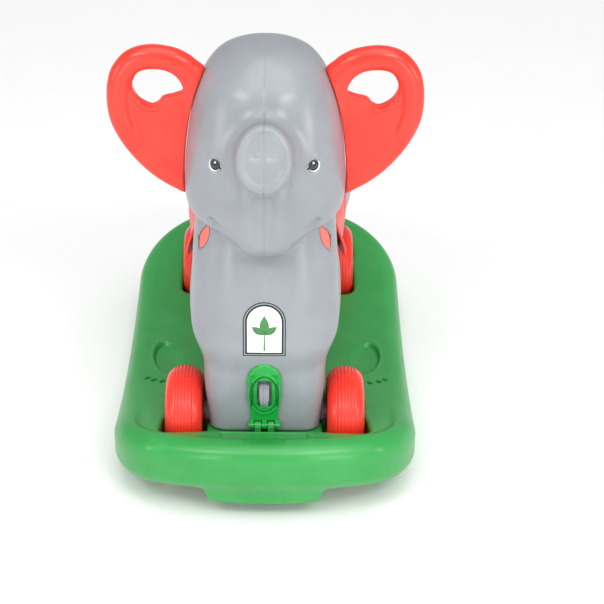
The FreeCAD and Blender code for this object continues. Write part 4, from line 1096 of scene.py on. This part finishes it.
# %% The badge: a sprig of three leaves
def leaf_loop(foot, lean, length, half):
    """A leaf from its foot: two bowed edges that meet in a point."""
    way = np.linspace(0, 1, 15)
    bow = half * np.sin(np.pi * way) * (1.15 - 0.3 * way)
    across = np.concatenate([bow[:-1], -bow[:0:-1]])
    along = np.concatenate([way[:-1], way[:0:-1]]) * length
    return np.column_stack([foot[0] + across * np.cos(lean) + along * np.sin(lean),
                            foot[1] + along * np.cos(lean) - across * np.sin(lean)])


sprig = []
for number, (lean, length, half) in enumerate(((0, 26, 5.6), (-0.95, 19, 4.6), (0.95, 19, 4.6))):
    outer = leaf_loop((0, 240), np.array(lean), length, half)
    middle = outer.mean(0)
    sprig.append(layered(f"badge_leaf_{number + 1}", [outer, outer, (outer + middle) / 2],
                         [FILM, INK_TOP, INK_TOP], [0, 0], [leaf_ink]))
rise = np.linspace(218, 241, 9)
half = np.linspace(1.1, 0.6, 9)
stem = np.concatenate([np.column_stack([half, rise]), np.column_stack([-half, rise])[::-1]])
sprig.append(layered("badge_stem", [stem, stem, stem * (0.8, 1)],
                     [FILM, INK_TOP, INK_TOP], [0, 0], [leaf_ink]))

# %% [markdown]
# Each eye is a printed disc on a bulge of the head, clear-coated, so it is glossier than the
# skin. It is a polar patch laid on the head's field: dark iris and pupil, a pale crescent on the
# outer and lower side, a dark inner corner, and a painted highlight: a white spot above the middle
# that stands in for a reflection. The print is drawn by distance in the patch's own map, whose
# unit is EYE_UNIT, so it turns with the eye.

# %% The eyes: a patch on the head
EYE_UNIT = 8
eye_up = np.array([0, 0, 1]) - EYE_OUT * EYE_OUT[2]
eye_up = eye_up / np.linalg.norm(eye_up)
eye_side = np.cross(eye_up, EYE_OUT)
eye_side = eye_side * np.sign(eye_side[0]) / np.linalg.norm(eye_side)
EYE_STEPS = 64


def eye_edge(angle):
    """The patch reaches further over the pale crescent, out and down, and at the inner corner."""
    crescent = 1.7 * np.clip(np.cos(angle + 0.7), 0, 1)
    corner = 2.3 * np.exp(-((angle - np.pi - 0.42) / 0.2) ** 2)
    return 7.2 + crescent + corner


EYE_RINGS = [  # share of the way to the edge, height over the skin
    (1, 0.02), (1, 0.16), (0.93, 0.3), (0.82, 0.34), (0.68, 0.36), (0.52, 0.38), (0.36, 0.4),
    (0.2, 0.4)]


def eye_patch(name):
    """Rings of points, each moved along the eye's axis until it lies on the head."""
    angles = np.arange(EYE_STEPS) * 2 * np.pi / EYE_STEPS
    edge = eye_edge(angles)
    points, places = [], []
    for share, lift in EYE_RINGS:
        across, up = share * edge * np.cos(angles), share * edge * np.sin(angles)
        flat = EYE + across[:, None] * eye_side + up[:, None] * eye_up
        skin = meet(elephant, lambda out: (flat + out[:, None] * EYE_OUT).T, EYE_STEPS, 8, -12)
        points.append(flat + (skin + lift)[:, None] * EYE_OUT)
        places.append(np.column_stack([across, up]))
    piece = ring_plate(name, np.concatenate(points), EYE_STEPS)
    places = np.concatenate(places) / EYE_UNIT
    layer = piece.data.uv_layers.new(name="eye map")
    for loop in piece.data.loops:
        layer.data[loop.index].uv = places[loop.vertex_index]
    return piece


eye_right = eye_patch("eye_right")
print("eye patch", [round(v / MM, 1) for v in eye_right.dimensions], "mm")


# %% Finish: the printed eye
def printed_eye():
    """Rings by distance from the middle: pupil, streaky iris, dark edge and pale crescent.
    A white spot above the middle is a painted highlight, standing in for a reflection.
    """
    finish, tree, shader = new_finish("printed eye under clear coat", 0.16, ior=FILM_IOR)
    shader.inputs["Coat Weight"].default_value = 0.5
    shader.inputs["Coat Roughness"].default_value = 0.05
    spot = add_node(tree, "ShaderNodeUVMap", uv_map="eye map").outputs["UV"]

    def way(place, operation):
        return add_node(tree, "ShaderNodeVectorMath", {0: spot, 1: place}, operation=operation)

    reach = way((0, 0, 0), "LENGTH").outputs["Value"]
    streaks = add_node(tree, "ShaderNodeTexNoise", {
        "Vector": way((0, 0, 0), "NORMALIZE").outputs["Vector"], "Scale": 5, "Detail": 2})
    iris = mixed(tree, streaks.outputs["Fac"], "0C0C0E", "3C3C41")
    rings = add_node(tree, "ShaderNodeValToRGB", {"Fac": reach})
    stops = rings.color_ramp.elements
    stops[0].position, stops[1].position = 0.3, 0.42
    for stop, shade in zip((*stops, stops.new(0.74), stops.new(0.83)), (1, 0, 0, 1)):
        stop.color = (shade, shade, shade, 1)
    dark = mixed(tree, rings.outputs["Color"], iris, "050506")
    not_corner = ranged(tree, way((-0.98, -0.44, 0), "DISTANCE").outputs["Value"], 0.2, 0.27)
    white_share = add_node(tree, "ShaderNodeMath", {
        0: ranged(tree, reach, 0.85, 0.88), 1: not_corner}, operation="MULTIPLY")
    with_white = mixed(tree, white_share.outputs[0], dark, "E9E9EA")
    # Painted highlight: a white spot above the pupil, painted in place of a reflection of the
    # lights.
    painted_highlight = ranged(tree, way((-0.02, 0.3, 0), "DISTANCE").outputs["Value"], 0.17, 0.1)
    tree.links.new(mixed(tree, painted_highlight, with_white, "FFFFFF"), shader.inputs["Base Color"])
    return finish


eye_print = printed_eye()
eye_right.data.materials.append(eye_print)
eye_left = mirrored(eye_right, "eye_left")

# %% [markdown]
# Every piece now gets its finish, the body that it moves with and the solid that it stands for.
# A moulded piece stands for the solid of the same place. Small turned parts keep their solids,
# because a solid cylinder already is the right shape, and only get a better finish.

# %% Dress the pieces
DRESSING = [
    # piece, finish, body, slot, nodes that it stands for
    (elephant_shell, grey_polyethylene, "rocker", "grey_body", ["elephant_body"]),
    (base_shell, green_polyethylene, "rocker", "green_base", ["rocker_base"]),
    (hinge_knuckles, green_polyethylene, "rocker", "green_base", []),
    (ear_right, red_polyethylene, "rocker", "red_trim", ["ear_handle_right"]),
    (ear_left, red_polyethylene, "rocker", "red_trim", ["ear_handle_left"]),
    (saddle_seat, red_polyethylene, "rocker", "red_trim", ["saddle"]),
    (insert_right, slot_red, "rocker", "red_trim", ["neck_insert_right"]),
    (insert_left, slot_red, "rocker", "red_trim", ["neck_insert_left"]),
    (saddle_screw_heads, zinc_steel, "rocker", "steel", ["saddle_screws"]),
    (latch_plate, green_polypropylene, "latch", "green_latch", ["latch"]),
    (knob_grip, pale_polypropylene, "knob", "pale_plastic", ["lock_knob"]),
    (chest_badge, None, "rocker", "label", ["chest_label"]),
    (eye_right, None, "rocker", "eye", ["eye_decal_right"]),
    (eye_left, None, "rocker", "eye", ["eye_decal_left"]),
]
DRESSING += [(piece, None, "rocker", "label", []) for piece in sprig]
DRESSING += [(wheel, red_tyre, f"{name}_wheel", "red_wheel", [f"wheel_{name}"])
             for name, wheel in WHEELS.items()]
for piece, finish, body, slot, nodes in DRESSING:
    if finish:
        piece.data.materials.clear()
        piece.data.materials.append(finish)
    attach(piece, body)
    if nodes:
        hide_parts(*nodes)
print(len(DRESSING), "pieces dressed")

# %% The solids that stay
NODE_FINISHES = {
    "rocker_base": green_polyethylene, "elephant_body": grey_polyethylene,
    "latch": green_polypropylene, "lock_knob": pale_polypropylene,
    "wheel_spacer": pale_polypropylene, "chest_label": white_film, "eye_decal": eye_print,
    "wheel": red_tyre, "ear_handle": red_polyethylene, "saddle_screws": zinc_steel,
    "saddle": red_polyethylene, "neck_insert": slot_red,
}
for name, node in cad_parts.items():
    known = [start for start in NODE_FINISHES if name.startswith(start)]
    moulded = known and name != "latch_hinge_pin"
    finish = NODE_FINISHES[max(known, key=len)] if moulded else zinc_steel
    for material_slot in node.material_slots:
        material_slot.material = finish
    print(name, "->", finish.name)

# %% [markdown]
# The stage is a pale floor under a white sky, as in a product studio. A broad soft sun from above
# makes the floor white and lays the short soft shadow. Two softboxes hang high in front, left and
# right, and draw the highlights on the forehead and the base's front roll. Four upright strips
# stand low beside the toy and draw the streaks on the chest, the legs and the wheels. The camera
# looks down at 30 degrees from well in front, with the frame shifted as in the photograph.

# %% The floor
FLOOR_REACH = 4
floor_mesh = bpy.data.meshes.new("studio_floor")
floor_mesh.from_pydata([(x * FLOOR_REACH, y * FLOOR_REACH, 0)
                        for x, y in ((-1, -1), (1, -1), (1, 1), (-1, 1))], [], [(0, 1, 2, 3)])
studio_floor = add_piece("studio_floor", floor_mesh)


def painted_board():
    """Matt white paint on a studio board, with the faint clouds of a roller."""
    finish, tree, shader = new_finish("matt paint, white", 0.85)
    place = own_place(tree)
    clouds = mixed(tree, noise(tree, place, 160), "F6F6F6", "FAFAFA")
    tree.links.new(clouds, shader.inputs["Base Color"])
    return finish


floor_mesh.materials.append(painted_board())

# %% Sky, sun and softboxes
scene = bpy.context.scene
scene.world = bpy.data.worlds.new("studio sky")
scene.world.use_nodes = True
sky = scene.world.node_tree.nodes["Background"].inputs
sky["Color"].default_value, sky["Strength"].default_value = (1, 1, 1, 1), 0.52
SUBJECT = Vector((0, -0.15, 0.32))


def add_light(name, kind, place, energy, spread):
    """A light that looks at the toy; spread is its size, or the sun's angle in degrees."""
    light = bpy.data.lights.new(name, kind)
    light.energy = energy
    if kind == "SUN":
        light.angle = np.radians(spread)
    else:
        light.shape, light.size, light.size_y = "RECTANGLE", *spread
    lamp = add_piece(name, light)
    lamp.location = place
    lamp.rotation_euler = (SUBJECT - Vector(place)).to_track_quat("-Z", "Y").to_euler()


def around(azimuth, elevation, reach):
    """A place seen from the toy at an azimuth from the front and an elevation, in degrees."""
    turn, rise = np.radians(azimuth), np.radians(elevation)
    way = Vector((np.sin(turn) * np.cos(rise), -np.cos(turn) * np.cos(rise), np.sin(rise)))
    return SUBJECT + reach * way


LIGHTS = [
    # name, azimuth, elevation, distance, strength, size or angle
    ("broad_sun", 15, 74, 3, 1.3, 50),
    ("upper_softbox_left", -34, 44, 2.2, 10, (0.8, 0.4)),
    ("upper_softbox_right", 32, 42, 2.2, 11, (0.8, 0.4)),
    ("strip_left", -24, 6, 1.7, 3.4, (0.12, 0.7)),
    ("strip_right", 28, 6, 1.7, 4.2, (0.16, 0.7)),
    ("side_strip_left", -64, 12, 1.7, 3.2, (0.2, 0.6)),
    ("side_strip_right", 64, 12, 1.7, 4, (0.25, 0.6)),
]
for name, azimuth, elevation, distance, strength, spread in LIGHTS:
    kind = "SUN" if name == "broad_sun" else "AREA"
    add_light(name, kind, around(azimuth, elevation, distance), strength, spread)
print(len(LIGHTS), "lights")

# %% The camera
lens = bpy.data.cameras.new("camera")
lens.sensor_width, lens.lens = 36, 88.99
lens.shift_x, lens.shift_y = 0.0596, -0.0596
camera = add_piece("camera", lens)
camera.location = (0.022, -1.7712, 1.2156)
camera.rotation_euler = (np.radians(60), 0, np.radians(0.75))
scene.camera = camera
scene.view_settings.view_transform = "Standard"
